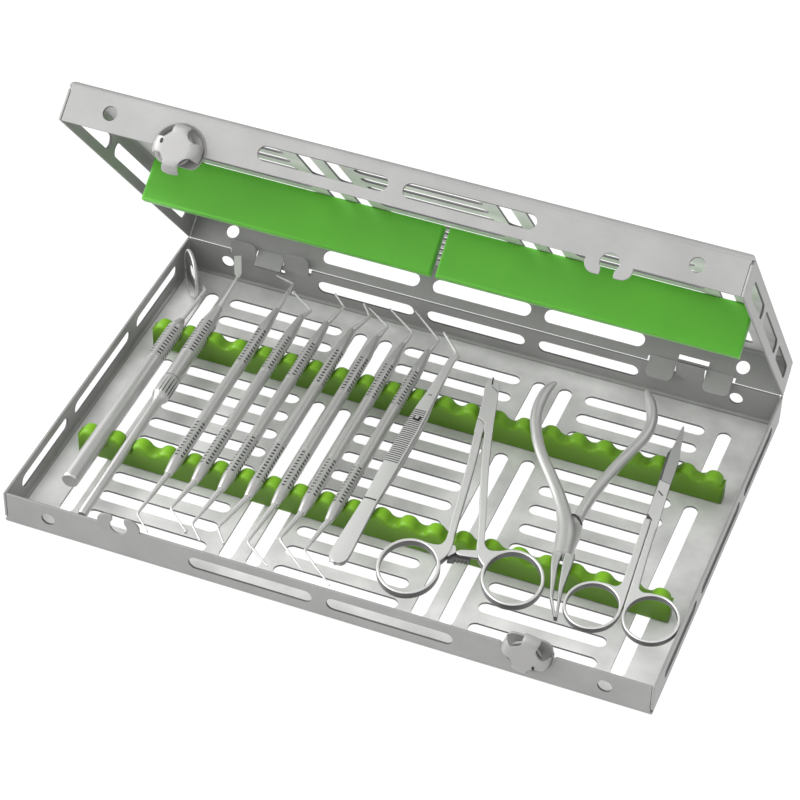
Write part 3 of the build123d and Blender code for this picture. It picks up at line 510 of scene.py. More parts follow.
def make_half(place, body, name, node):
    """One half: floor, folds, walls, hinge tabs, pocket and clip."""
    half = Shape()
    flat = rectangle(BEND - END, BEND - BACK, END - BEND, BACK - BEND)
    # The floor plate takes the lighter steel, painted light; its slots' walls take painted shade.
    half.plate(flat, floor_holes(), place=raised(place, SHEET / 2), index=FLOOR, cut=CUT)
    for turn, run, width in ((0, END, BACK), (pi, END, BACK), (pi / 2, BACK, END), (-pi / 2, BACK, END)):
        fold(half, place @ Matrix.Rotation(turn, 4, "Z"), run, width)
    round_holes = [disc(side * WALL_HOLE_X, WALL_SLOT_Z, WALL_HOLE_R) for side in (-1, 1)]
    front_slots = [slot(side * FRONT_SLOT_X, WALL_SLOT_Z, FRONT_SLOT) for side in (-1, 1)]
    half.plate(wall_outline(front_rim()), round_holes + front_slots, place=place @ FRONT, cut=CUT)
    rear_slots = [slot(k * REAR_SLOT_PITCH, WALL_SLOT_Z, REAR_SLOT) for k in (-1, 0, 1)]
    rear_rim = [point for x, wide, _ in HINGE_TABS for point in notch(x, wide + TAB_ROOM)]
    rear_holes = round_holes + rear_slots + [rectangle(*LIP_SLOT)]
    half.plate(wall_outline(rear_rim), rear_holes, place=place @ REAR, cut=CUT)
    end_holes = [slot(0, WALL_SLOT_Z, COLUMN_MID)]
    end_holes += [slot(side * COLUMN_OUT, WALL_SLOT_Z, COLUMN_END) for side in (-1, 1)]
    for side in (-1, 1):
        at = Matrix.Translation((side * (END - SHEET / 2), 0, 0)) @ SIDE
        half.plate(end_wall_outline(), end_holes, place=place @ at, cut=CUT)
    for x, wide, rise in HINGE_TABS:
        make_tab(half, place, x, wide, rise)
    make_pocket(half, place)
    half.done(name, body, [SHELL_SHADED_STEEL, CUT_EDGE_SHADE_STEEL, FLOOR_LIT_STEEL], [node])


def make_tab(target, place, x, wide, rise):
    """One hinge tab, set in by a sheet; the middle one of the row has a lip."""
    top, low = HALF_HEIGHT + rise, RIM - 2.4
    lip = (wide, rise) == LIP_TAB
    rounding = 0.4 if lip else 2.5
    right, left = x + wide / 2, x - wide / 2
    outline = [(left, low), (right, low)]
    outline += arc(right - rounding, top - rounding, rounding, 0, 90, 6)
    outline += arc(left + rounding, top - rounding, rounding, 90, 180, 6)
    target.plate(outline, place=place @ Matrix.Translation((0, -SHEET - 0.15, 0)) @ REAR)
    if lip:
        lip_place = place @ Matrix.Translation((0, -0.5, 0)) @ REAR
        target.plate(rectangle(left, top - SHEET, right, top), thick=1.6, place=lip_place)


def make_pocket(target, place):
    """The round recess in the front wall, with the tab that stands up from its floor."""
    floor_r, back, overlap = 10.0, 1.25, 0.1
    tab_half, tab_top = 9.65, HALF_HEIGHT + 5.8

    def flare(u, v):
        turn = pi + pi * u
        radius = POCKET_R + (floor_r - POCKET_R) * v
        across, up = radius * cos(turn), radius * sin(turn)
        return LATCH_X + across, -BACK + overlap + back * v, HALF_HEIGHT - overlap + up

    target.surface(32, 1, flare, thick=SHEET * 0.8, place=place)
    outline = arc(LATCH_X, HALF_HEIGHT, floor_r + 0.3, 180, 360, 32)
    outline += arc(LATCH_X + tab_half - TAB_CORNER, tab_top - TAB_CORNER, TAB_CORNER, 0, 90)
    outline += arc(LATCH_X - tab_half + TAB_CORNER, tab_top - TAB_CORNER, TAB_CORNER, 90, 180)
    target.plate(outline, place=place @ Matrix.Translation((0, back, 0)) @ FRONT)


make_half(TRAY, "tray", "tray_half", "tray_shell")
make_half(LID, "lid", "lid_half", "lid_shell")

# %% [markdown]
# ## Turning knobs
# A flat-topped star with four lobes, on a flat-sided shaft.

# %%
CAP_SCALE, CAP_R, CAP_THICK = 0.88, 10.6, 0.9
SCALLOP_R, SCALLOP_AWAY = 6.15, 13.0
SHOULDER_R, SHOULDER_Z, LOBE_R, SLOPE = 8.2, 4.15, 10.2, 0.55
CAP_ROWS = [(0, 4.2), (3, 4.2), (6, 4.2), (SHOULDER_R, SHOULDER_Z), (9.2, 3.75), (10.0, 3.1), (10.5, 2.4),
            (CAP_R, 0.9)]
SHAFT_ROWS = [(-3.4, 0), (-3.4, 3.6), (2.4, 3.6), (2.4, 6.8), (3.4, 6.8), (3.4, 0)]
DIMPLE_Z, DIMPLE_WIDE, DIMPLE_LONG = 5.15, 1.2, 2.2
KNOB_PLACE = Matrix.Translation((LATCH_X, -BACK, HALF_HEIGHT)) @ Matrix.Rotation(pi / 2, 4, "X")


def star_radius(turn):
    """The cap's outline before scaling: a circle with four round scallops between its lobes."""
    off = abs((turn % (pi / 2)) - pi / 4)
    if SCALLOP_AWAY * sin(off) >= SCALLOP_R:
        return CAP_R
    return min(CAP_R, SCALLOP_AWAY * cos(off) - sqrt(SCALLOP_R**2 - (SCALLOP_AWAY * sin(off)) ** 2))


def cap_surface(u, v):
    """The cap's skin: flat in the middle, sloping at the shoulder, with a short skirt under the lobes."""
    radius, z = CAP_ROWS[round(v * (len(CAP_ROWS) - 1))]
    turn = 2 * pi * u
    limit = star_radius(turn)
    if radius > limit:
        radius = limit
        z = z if limit > LOBE_R else SHOULDER_Z - max(0, limit - SHOULDER_R) * SLOPE
    return radius * cos(turn), radius * sin(turn), z


for body, half, turn, dimple_at in (("tray", TRAY, -14, (4.1, -3.7)), ("lid", LID, 0, (6.1, -1.3))):
    shape = Shape()
    place = half @ KNOB_PLACE
    squeezed = Matrix.Diagonal((CAP_SCALE, CAP_SCALE, 1, 1))
    turned_cap = place @ Matrix.Rotation(radians(turn), 4, "Z") @ squeezed
    shape.surface(128, 7, cap_surface, thick=-CAP_THICK, place=turned_cap)
    shape.turned(SHAFT_ROWS, place=place @ Matrix.Rotation(pi / 2, 4, "X"), sides=32)
    # The dimple is painted shade: a dark oval inlay on the cap.
    dimple = oval(*dimple_at, DIMPLE_WIDE, DIMPLE_LONG, 20)
    shape.mark(dimple, raised(place, DIMPLE_Z), 1)
    shape.done(f"{body}_knob_star", f"{body}_knob", [KNOB_STEEL, SHADE_AND_STAMP_STEEL],
               [f"{body}_knob_cap", f"{body}_knob_shaft"])

# %% [markdown]
# ## Silicone racks and hold-down bars

# %%
RACK_HALF, RACK_THICK, CREST, SEAT_R = 131.0, 6.5, 14.3, 3.0
RACK_SHIFT, RACK_SPACING = -1.55, 74.1
RACK_SHOULDER = 0.6
FIRST_SEAT, LAST_SEAT = -10, 11
DEEP_SEATS = (-10, -9)
DEEP_R, DEEP_Z, DEEP_TURN = 4.2, 13.5, 50
BAR_TALL, BAR_THICK, BAR_CAD = 21.7, 6.0, 14.4
BARS = [(1.0, 131.0, "left"), (-131.0, -1.5, "right")]


def wave():
    """The rack's outline: round seats and crests as tangent arcs, with two deeper seats on the left."""
    half_pitch, lift = SEAT_PITCH / 2, CREST - SEAT_Z
    crest_r = (half_pitch**2 + lift**2 - SEAT_R**2) / (2 * (SEAT_R + lift))
    crest_z = CREST - crest_r
    turn = degrees(atan2(half_pitch, SEAT_Z - crest_z))
    shoulder = crest_z + RACK_SHOULDER
    points = [(-RACK_HALF, SHEET), (RACK_HALF, SHEET), (RACK_HALF, shoulder)]
    for seat in range(LAST_SEAT, FIRST_SEAT - 1, -1):
        crest_x = seat * SEAT_PITCH - half_pitch
        right = 5 if seat == LAST_SEAT else 90 - turn
        left = 175 if seat == FIRST_SEAT else 90 + turn
        points += arc(crest_x, crest_z, crest_r, right, left, 10)
        if seat > FIRST_SEAT:
            deep = seat - 1 in DEEP_SEATS
            radius, z, open_turn = (DEEP_R, DEEP_Z, DEEP_TURN) if deep else (SEAT_R, SEAT_Z, turn)
            points += arc(crest_x - half_pitch, z, radius, -90 + open_turn, -90 - open_turn, 8)[1:-1]
    return points + [(-RACK_HALF, shoulder)]


for side, name in ((-1, "front"), (1, "back")):
    shape = Shape()
    middle = RACK_SHIFT + side * RACK_SPACING / 2
    place = Matrix.Translation((0, middle, 0)) @ Matrix.Rotation(pi / 2, 4, "X")
    shape.plate(wave(), thick=RACK_THICK, edge=1.1, place=place)
    shape.done(f"rack_{name}", "tray", [RACK_GREEN], [f"tray_rack_{name}"], sharp=60)

for x0, x1, name in BARS:
    shape = Shape()
    place = LID @ Matrix.Rotation(pi / 2, 4, "X")
    shape.plate(rectangle(x0, SHEET, x1, SHEET + BAR_TALL), thick=BAR_THICK, edge=0.9, place=place)
    bar = shape.done(f"bar_{name}", "lid", [BAR_GREEN], [f"lid_bar_{name}"], sharp=60)
    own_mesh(bar)


# %% [markdown]
# ## Double-ended hand instruments

# %%
KNURL_PITCH, KNURL_DEPTH, KNURL_TURN, KNURL_STEP = 1.95, 0.3, 48.0, 13
GROOVE_EDGES = (0.22, 0.28, 0.72, 0.78)
DASH_CELLS, COLUMN_CELLS, COLUMN_COUNT = 4, 8, 6
# The index of the painted shade on the dashes' floors and the collar's ridges.
SHADE_DASH = 1


def knurled(start, end, radius):
    """Rows of a knurl band as (y, radius) pairs. A groove's two rows have a negative radius."""
    rows = []
    for k in range(round((end - start) / KNURL_PITCH)):
        edges = [start + (k + share) * KNURL_PITCH for share in GROOVE_EDGES]
        rows += zip(edges, (radius, -radius, -radius, radius))
    return rows


def knurled_bar(target, profile, place, turn=KNURL_TURN):
    """A turned bar whose marked rows are cut into rows of short dashes, their floors painted shade."""
    sides = COLUMN_CELLS * COLUMN_COUNT

    def where(u, v):
        y, radius = profile[round(v * (len(profile) - 1))]
        cut = radius < 0 and 0 < round(u * sides) % COLUMN_CELLS < DASH_CELLS
        size = abs(radius) - (KNURL_DEPTH if cut else 0)
        around = 2 * pi * u + radians(turn)
        return size * cos(around), y, size * sin(around)

    def paint(u, v):
        row = int(v * (len(profile) - 1))
        groove = profile[row][1] < 0 and profile[row + 1][1] < 0
        return SHADE_DASH if groove and int(u * sides) % COLUMN_CELLS < DASH_CELLS else 0

    target.surface(sides, len(profile) - 1, where, place=place, paint=paint)


def ring_groove(start, end, radius, deep):
    """Rows of a plain turned groove."""
    return [(start, radius), (start + 0.1, radius - deep), (end - 0.1, radius - deep), (end, radius)]


HANDLE_R, REAR_END, FRONT_END = 2.7, 62.0, -51.6
HANDLE_ROWS = [(-52, 0), (-52, 1.55), (-51.7, 1.7), (-46.5, 2.45), (-44.8, 2.66), (-43.5, HANDLE_R)]
HANDLE_ROWS += knurled(-42.5, -19.0, HANDLE_R)
HANDLE_ROWS += ring_groove(-18.2, -17.6, HANDLE_R, 0.15) + ring_groove(20.5, 21.1, HANDLE_R, 0.15)
HANDLE_ROWS += knurled(22.6, 46.0, HANDLE_R)
HANDLE_ROWS += [(48.0, HANDLE_R), (49.5, 2.64), (60.8, 1.55), (62.3, 1.4), (62.5, 1.3), (62.5, 0)]

# Name, seat, rear bend and point, front bend and point, radius at the points.
DOUBLE_ENDED = [
    ("explorer", -7, ((-0.2, 82.0), (-9.3, 84.4)), ((-1.7, -78.3), (6.7, -86.0)), 0.3),
    ("burnisher", -6, ((2.4, 68.0), (-9.6, 76.4)), ((-2.4, -70.2), (8.9, -79.9)), 0.45),
    ("plugger_wide", -5, ((2.7, 76.0), (-4.3, 82.8)), ((-2.6, -75.0), (4.6, -82.6)), 0.6),
    ("plugger_fine", -4, ((3.8, 74.2), (-1.9, 81.4)), ((-4.0, -73.0), (2.0, -80.4)), 0.55),
    ("scaler_left", -3, ((1.7, 71.0), (-10.7, 79.6)), ((-1.7, -76.0), (11.4, -85.3)), 0.3),
    ("scaler_mid", -2, ((1.4, 71.3), (-14.2, 83.0)), ((-2.3, -69.3), (13.4, -82.3)), 0.3),
    ("scaler_right", -1, ((1.6, 71.3), (-15.4, 86.0)), ((-2.5, -71.8), (14.4, -85.6)), 0.3),
]
WIRE_RADII = [1.35, 1.1, 0.68, 0.58, 0.54, 0.48]


def bent_wire(target, root, bend, point, point_r, place):
    """A working end: a tapering shank, one soft bend and a finer point."""
    root, bend, point = Vector(root), Vector(bend), Vector(point)
    corner = [bend.lerp(root, 0.16), bend, bend.lerp(point, 0.22)]
    path = [root, root.lerp(bend, 0.45), *corner, bend.lerp(point, 0.6), point]
    target.tube([(*p, 0) for p in path], [*WIRE_RADII, point_r], place, soft=True, sides=12)


for name, seat, rear, front, point_r in DOUBLE_ENDED:
    place = Matrix.Translation((seat * SEAT_PITCH, 0, SEAT_Z))
    shape = Shape()
    knurled_bar(shape, HANDLE_ROWS, place, KNURL_TURN + (seat + 1) * KNURL_STEP)
    shape.done(f"{name}_grip", name, [HANDLE_STEEL, SHADE_AND_STAMP_STEEL], [f"{name}_handle"])
    shape = Shape()
    bent_wire(shape, (0, REAR_END), rear[0], rear[1], point_r, place)
    bent_wire(shape, (0, FRONT_END), front[0], front[1], point_r, place)
    if name == "burnisher":
        for x, y in (rear[1], front[1]):
            ball = [(y - cos(pi * k / 10), sin(pi * k / 10)) for k in range(11)]
            shape.turned(ball, place=place @ Matrix.Translation((x, 0, 0)), sides=20)
    shape.done(f"{name}_points", name, [POINT_STEEL], [f"{name}_ends"])

# %% [markdown]
# ## Mouth mirror and blade instrument

# %%
MIRROR_R, MIRROR_AT = 3.75, (-120, 0, 13.5)
MIRROR_ROWS = [(-71, 0), (-71, 3.2), (-70.6, 3.6), (-69.8, MIRROR_R)]
MIRROR_ROWS += ring_groove(11.4, 12.3, MIRROR_R, 0.35)
MIRROR_ROWS += knurled(12.8, 33.2, MIRROR_R)
MIRROR_ROWS += [(33.6, MIRROR_R), (33.7, 3.3), (34.5, 3.3), (34.6, 3.5), (40, 1.7), (40, 0)]
shape = Shape()
knurled_bar(shape, MIRROR_ROWS, Matrix.Translation(MIRROR_AT))
shape.done("mirror_grip", "mirror", [HANDLE_STEEL, SHADE_AND_STAMP_STEEL], ["mirror_handle"])

NECK_PATH, NECK_R = [(-120, 39.6, 13.5), (-119.1, 62.5, 13.0), (-119.3, 64.6, 13.0)], 0.95
DISC_AT, DISC_FACING = Vector((-129.7, 72.3, 12.7)), Vector((-0.793, -0.606, 0.054))
FRAME_ROWS = [(-1.0, 0), (-1.0, 9.4), (-0.7, 10.6), (0, 11.2), (0.7, 11.2), (1.0, 10.9), (0.9, 10.5),
              (0.2, 10.4), (0.2, 0)]
GLASS_ROWS = [(0.25, 0), (0.25, 10.35), (0.9, 10.35), (0.95, 10.2), (0.95, 0)]
disc_place = Matrix.Translation(DISC_AT) @ DISC_FACING.to_track_quat("Y", "Z").to_matrix().to_4x4()
shape = Shape()
neck = [*NECK_PATH, tuple(DISC_AT - DISC_FACING.normalized())]
shape.tube(neck, [NECK_R] * len(neck), soft=True, sides=12)
shape.turned(FRAME_ROWS, place=disc_place, sides=64)
shape.done("mirror_frame", "mirror", [POINT_STEEL], ["mirror_head"])
shape = Shape()
shape.turned(GLASS_ROWS, place=disc_place, sides=64)
shape.done("mirror_pane", "mirror", [MIRROR_GLASS], ["mirror_glass"])

BARREL_R, BLADE_TILT = 3.8, 1.47
BLADE_ROWS = [(-119.8, 0), (-119.8, 1.7), (-118.8, 2.15), (-50.0, 2.15), (-47.0, 2.4), (-44.8, 3.1),
              (-43.8, 3.7), (-32.6, 3.9), (-32.5, 3.2), (-31.8, 3.2), (-31.7, BARREL_R)]
BLADE_ROWS += ring_groove(-15.9, -15.2, BARREL_R, 0.15)
BLADE_ROWS += knurled(-15.0, 5.6, BARREL_R)
BLADE_ROWS += [(6.5, BARREL_R), (16.8, 2.0), (17.4, 2.1), (18.0, 1.9), (18.0, 0)]
COLLAR_ROWS = [(-43.9, 3.3), (-43.4, 3.75), (-42.6, 3.95), (-33.5, 3.95), (-32.9, 3.75), (-32.7, 3.2)]
COLLAR_RIDGES, RIDGE_RISE = 30, 0.16
BLADE_PLACE = Matrix.Translation((-108, 35.5, 13.5)) @ Matrix.Rotation(radians(BLADE_TILT), 4, "X")


def collar(u, v):
    """A collar with fine lengthwise ridges."""
    y, radius = COLLAR_ROWS[round(v * (len(COLLAR_ROWS) - 1))]
    radius -= RIDGE_RISE * (round(u * COLLAR_RIDGES * 2) % 2)
    return radius * cos(2 * pi * u), y, radius * sin(2 * pi * u)


def collar_paint(u, v):
    """Painted shade: a dark line at every second ridge."""
    return SHADE_DASH if int(u * COLLAR_RIDGES * 2) % 4 == 0 else 0


shape = Shape()
knurled_bar(shape, BLADE_ROWS, BLADE_PLACE)
shape.surface(COLLAR_RIDGES * 2, len(COLLAR_ROWS) - 1, collar, place=BLADE_PLACE, paint=collar_paint)
shape.done("blade_grip", "blade", [HANDLE_STEEL, SHADE_AND_STAMP_STEEL], ["blade_handle"])

BLADE_ROOT, BLADE_POINT, BLADE_ACROSS = (-108.7, 76.3, 14.6), (-111.8, 83.2, 20.5), (0.9066, 0.422, 0)
SHANK_START, SHANK_RADII = (0, 17.8, 0), [1.1, 0.75, 0.55]
BLADE_OUTLINE = [(-0.6, -0.3), (0.6, -0.3), (1.6, 1.6), (1.6, 9.6), (-1.6, 9.6), (-1.6, 1.6)]
root, across = Vector(BLADE_ROOT), Vector(BLADE_ACROSS)
run = (Vector(BLADE_POINT) - root).normalized()
blade_axes = Matrix((across, run, across.cross(run))).transposed().to_4x4()
shape = Shape()
start = BLADE_PLACE @ Vector(SHANK_START)
shape.tube([tuple(p) for p in (start, start.lerp(root, 0.5), root + run * 0.6)], SHANK_RADII, sides=12)
shape.plate(BLADE_OUTLINE, thick=0.6, edge=0.1, place=Matrix.Translation(root) @ blade_axes)
shape.done("blade_flat", "blade", [TOOL_STEEL], ["blade_tip"])


# %% [markdown]
# ## Tweezers

# %%
# Along Y: an arm's half width, then the two arms' heights.
PLAN = [(-74.6, 0.3), (-74.5, 1.1), (-74.0, 2.0), (-73.2, 2.9), (-72.0, 3.6), (-70.5, 3.95), (-67, 4.0),
        (-48, 3.35), (-35.6, 2.95), (-35.1, 3.0), (-22, 3.25), (-10, 3.4), (11, 3.45), (23, 3.05), (33, 2.4),
        (47, 1.8), (61.5, 1.25)]
LOW = [(-75, 14.3), (-60, 14.3), (-34, 14.3), (-6, 12.2), (22, 12.2), (32, 13.7), (78, 13.9)]
HIGH = [(-75, 15.6), (-60, 15.7), (-34, 15.9), (-6, 16.7), (22, 16.7), (36, 16.4), (78, 15.6)]
PRONG = [(0.2, 59.0, 15.2), (0.9, 61.2, 15.1), (1.1, 63.0, 15.0), (0.3, 64.8, 15.0), (-2.4, 68.0, 14.9),
         (-10.0, 76.3, 14.6)]
PRONG_RADII = [1.0, 1.35, 1.35, 0.95, 0.72, 0.55]
ARM_THICK, ARM_CROWN, ARM_LIFT = 1.0, 0.25, 0.3
STEP_FROM, STEP_TO = -35.7, -34.9
RIDGES_FROM, RIDGES_TO, RIDGE_PITCH, RIDGE_SHARE = -12.0, 23.0, 1.25, 0.42
SOCKET_Y, DOT_Y = 17.0, 33.0
# Material places on a tool: 1 is painted shade on its upright sides, 2 a darker painted shade in grooves,
# slits, gaps and sockets, and a dot.
SIDE_SHADE, DARK = 1, 2


def between(rows, y):
    """Values of a table at y, joined by straight lines; y is each row's key."""
    for a, b in zip(rows, rows[1:]):
        if y <= b[0]:
            share = max(0.0, (y - a[0]) / (b[0] - a[0]))
            return a[1] + (b[1] - a[1]) * share
    return rows[-1][1]


def make_arm(target, heights, ridged):
    """An arm as a surface over its plan, its upright sides painted shade; the upper one has grip ridges and a
    step, drawn as bands of painted shade.
    """
    ys = sorted({y for y, _ in PLAN} | {float(y) for y in range(-70, 62, 2)})
    if ridged:
        count = round((RIDGES_TO - RIDGES_FROM) / RIDGE_PITCH)
        starts = [RIDGES_FROM + k * RIDGE_PITCH for k in range(count)]
        ys = [y for y in ys if not RIDGES_FROM - 0.5 < y < RIDGES_TO + 0.5]
        ys = [y for y in ys if not STEP_FROM - 1 < y < STEP_TO + 1]
        ys = sorted([*ys, STEP_FROM, STEP_TO, *starts, *[y + RIDGE_PITCH * RIDGE_SHARE for y in starts]])

    # Painted shade in the ridges' grooves and on the step.
    def dark(y):
        in_groove = (y - RIDGES_FROM) % RIDGE_PITCH < RIDGE_PITCH * RIDGE_SHARE
        return (RIDGES_FROM <= y < RIDGES_TO and in_groove) or STEP_FROM < y < STEP_TO

    def where(u, v):
        y = ys[round(v * (len(ys) - 1))]
        crown = ARM_CROWN * (1 - (2 * u - 1) ** 2)
        return (2 * u - 1) * between(PLAN, y), y, between(heights, y) + crown

    def paint(u, v):
        row = int(v * (len(ys) - 1))
        return DARK if ridged and dark((ys[row] + ys[row + 1]) / 2) and 0.05 < u < 0.95 else 0

    place = Matrix.Translation((0, 0, ARM_LIFT))
    target.surface(10, len(ys) - 1, where, thick=ARM_THICK, place=place, paint=paint, side=SIDE_SHADE)


TWEEZER_STEELS = [TOOL_STEEL, SIDE_SHADE_STEEL, SHADE_AND_STAMP_STEEL]
shape = Shape()
make_arm(shape, LOW, False)
shape.tube(PRONG, PRONG_RADII, soft=True, sides=16)
shape.done("tweezers_low", "tweezers", TWEEZER_STEELS, ["tweezers_arm_low"])
shape = Shape()
make_arm(shape, HIGH, True)
# The socket is painted shade, a dark inlay under a small block; the dot is a dark oval inlay.
socket = Matrix.Translation((0.2, SOCKET_Y, between(HIGH, SOCKET_Y) + 0.56))
socket = socket @ Matrix.Rotation(radians(-8), 4, "Z")
shape.mark(rectangle(-1.5, -1.7, 1.5, 1.3), socket, DARK)
shape.plate(rectangle(-1.0, -0.5, 0.5, 1.0), thick=0.5, edge=0.1, place=socket)
shape.mark(oval(0, 0, 1.5, 0.8, 20), Matrix.Translation((0, DOT_Y, between(HIGH, DOT_Y) + 0.5)), DARK)
shape.done("tweezers_high", "tweezers_arm", TWEEZER_STEELS, ["tweezers_arm_high"])

# %% [markdown]
# ## Needle holder, pliers and scissors

# %%
HOLDER = Matrix.Translation((26.6, 30.4, 16.2)) @ Matrix.Rotation(radians(13.7), 4, "Z")
PLIERS = Matrix.Translation((83.6, -26.7, 16.4))
SCISSORS = Matrix.Translation((110.1, 3.7, 15.9)) @ Matrix.Rotation(radians(5), 4, "Z")


def mirrored(points):
    """Points on the other side of a tool's own axis."""
    return [(-x, *rest) for x, *rest in points]


def forged_bar(target, spine, place, flat):
    """A forged bar along points that carry a half width."""
    centres, halves = [(x, y) for x, y, _ in spine], [half for *_, half in spine]
    target.tube(centres, halves, place, flat=flat, soft=True, sides=20)


def tilted(points, x, y, angle):
    """Points turned about a centre."""
    turn = Matrix.Rotation(radians(angle), 2)
    middle = Vector((x, y))
    return [tuple(turn @ (Vector(p) - middle) + middle) for p in points]


def handle(target, side, inner, outer, web_out, web_in, ring, place, thick):
    """A shank and its finger ring as one forged piece, drawn for side -1 and mirrored for side 1.
    Inner and outer run down the shank's two sides, the webs lead from them into the ring, and ring gives its
    centre, width, length, tilt, the part of its round that the webs leave free, and its band."""
    x, y, wide, long, tilt, start, end, band = ring
    turns = [radians(start + (end - start) * k / 40) for k in range(41)]
    round_part = tilted([(x + wide / 2 * cos(t), y + long / 2 * sin(t)) for t in turns], x, y, tilt)
    outline = outer + smooth([outer[-1], *web_out, round_part[0]])[1:-1] + round_part
    outline += smooth([outline[-1], *web_in, inner[-1]])[1:-1] + inner[::-1]
    hole = tilted(oval(x, y, wide - 2 * band, long - 2 * band, 56), x, y, tilt)
    if side > 0:
        outline, hole = mirrored(outline), mirrored(hole)
    # Its upright sides take the painted shade.
    target.plate(outline, [hole], thick=thick, edge=0.55, place=place, side=SIDE_SHADE, steps=3)


# %%
HOLDER_THICK, HOLDER_TOP = 3.4, 1.8
HOLDER_INNER = [(0.2, -9.0), (0.6, -20.1), (1.5, -35.4), (2.7, -50.3), (4.0, -64.9), (4.7, -74.0)]
HOLDER_OUTER = [(3.8, -9.0), (4.0, -15.7), (4.3, -23.4), (4.8, -34.8), (5.9, -49.8), (7.0, -64.4),
                (7.4, -73.0)]
HOLDER_WEBS = [(8.1, -77.9), (10.0, -80.7), (13.0, -80.9)], [(6.2, -86.0), (5.1, -82.0), (4.7, -78.5)]
HOLDER_RING = (21.0, -94.7, 25.6, 31.4, 3.0, 110, -200, 1.4)
HOLDER_BOX = [(-0.1, -6.9), (-1.2, -4.7), (-3.3, -3.3), (-3.1, 3.0), (-2.6, 11.1), (-2.7, 18.6), (-1.3, 22.0),
              (0.3, 22.8), (2.5, 21.0), (3.4, 18.4), (3.7, 10.5), (3.7, -6.3), (3.9, -12.0), (0.2, -12.0)]
RATCHET_ARM = [(6.2, -81.4), (4.4, -81.9), (-1.6, -82.6), (-3.0, -83.6), (-2.8, -85.0), (-1.4, -85.7),
               (6.0, -86.1)]
# Painted shade: dark lines in the slit between the jaws and along the lap.
JAW_LINES = [rectangle(0.05, 18.4, 0.65, 23.2), strip([(0.5, 17.2, 0.14), (3.5, 13.9, 0.14)])]
LAP_LINE = strip([(-3.35, -3.5, 0.14), (-1.35, -4.95, 0.14), (-0.2, -7.1, 0.14)])
LOWER_LAP = [(-3.4, -2.0), (0.4, -2.0), (0.2, -7.2), (-0.2, -12.0), (-4.0, -12.0), (-3.6, -5.0)]
LOWER_JAW = strip([(0.4, -1.0, 3.2), (0.4, 20.5, 2.9)])
RATCHET_ROOT = [(-6.0, -79.0), (-3.4, -80.5), (-3.0, -84.0), (-6.2, -87.0)]
TOOTH_PITCH = 1.5
TEETH = [(-6.0, -82.0), (3.0, -82.0)]
for k in range(5):
    TEETH += [(3.0 - k * TOOTH_PITCH, -86.6), (2.5 - k * TOOTH_PITCH, -88.0)]
TEETH += [(-6.2, -88.2)]

shape = Shape()
handle(shape, 1, HOLDER_INNER, HOLDER_OUTER, *HOLDER_WEBS, HOLDER_RING, HOLDER, HOLDER_THICK)
shape.plate(LOWER_LAP, thick=1.9, edge=0.3, place=raised(HOLDER, 0.7), side=SIDE_SHADE, steps=2)
shape.plate(LOWER_JAW, thick=1.6, edge=0.3, place=raised(HOLDER, -0.95), side=SIDE_SHADE)
shape.plate(RATCHET_ROOT, thick=1.9, edge=0.3, place=raised(HOLDER, 0.3), side=SIDE_SHADE)
# The ratchet teeth are painted shade all over.
shape.plate(TEETH, thick=1.4, edge=0.2, place=raised(HOLDER, -0.9), index=SIDE_SHADE)
shape.done("needle_holder_left", "needle_holder_half", [TOOL_STEEL, SIDE_SHADE_STEEL, SHADE_AND_STAMP_STEEL],
           ["holder_left"])
shape = Shape()
handle(shape, -1, HOLDER_INNER, HOLDER_OUTER, *HOLDER_WEBS, HOLDER_RING, HOLDER, HOLDER_THICK)
shape.plate(HOLDER_BOX, thick=1.9, edge=0.3, place=raised(HOLDER, 0.9), side=SIDE_SHADE, steps=2)
shape.plate(RATCHET_ARM, thick=1.7, edge=0.5, place=raised(HOLDER, 0.9), side=SIDE_SHADE, steps=3)
for line in JAW_LINES:
    shape.mark(line, raised(HOLDER, HOLDER_TOP + 0.06), DARK)
shape.mark(LAP_LINE, raised(HOLDER, HOLDER_TOP - 0.05), DARK)
shape.done("needle_holder_right", "needle_holder", [TOOL_STEEL, SIDE_SHADE_STEEL, SHADE_AND_STAMP_STEEL],
           ["holder_right"])
shape = Shape()
shape.plate(disc(0, 0, 1.6), thick=3.3, edge=0.15, place=HOLDER)
shape.done("needle_holder_screw", "needle_holder", [TOOL_STEEL], ["holder_pin"])

# %%
RIGHT_HANDLE = [(1.1, 98.9, 0.9), (3.2, 95.2, 2.0), (5.9, 90.3, 2.5), (9.2, 81.6, 2.5), (9.7, 72.0, 2.5),
                (6.9, 60.5, 2.5), (3.5, 48.0, 2.5), (0.6, 33.6, 2.5), (-0.9, 21.0, 2.5), (-0.9, 12.8, 2.35)]
LEFT_HANDLE = [(-36.9, 88.8, 0.9), (-38.2, 85.0, 2.0), (-39.3, 79.7, 2.45), (-38.3, 66.3, 2.5),
               (-33.0, 52.8, 2.5), (-27.3, 43.2, 2.5), (-18.6, 31.7, 2.6), (-12.1, 22.1, 2.75),
               (-8.0, 15.0, 3.1), (-4.8, 9.0, 3.8), (-2.6, 3.0, 4.3), (-1.5, -2.0, 4.35), (-0.3, -9.9, 4.2)]
LEFT_BEAK = [(-2.0, -8.0, 1.9), (-1.9, -12.5, 1.75), (-1.0, -17.3, 1.4), (0.8, -23.5, 1.1), (3.6, -34.0, 0.6),
             (6.4, -39.6, 0.45), (8.4, -44.0, 0.4)]
RIGHT_BEAK = [(2.6, -8.0, 2.1), (3.4, -13.5, 2.0), (3.8, -16.5, 1.8), (5.5, -28.0, 1.0), (7.2, -35.6, 0.6),
              (8.2, -40.0, 0.45), (9.1, -44.0, 0.4)]
PLIER_LAP = strip([(-1, 11.0, 2.6), (0, 5, 3.2), (0, -5, 3.2), (0, -9.0, 3.0)])
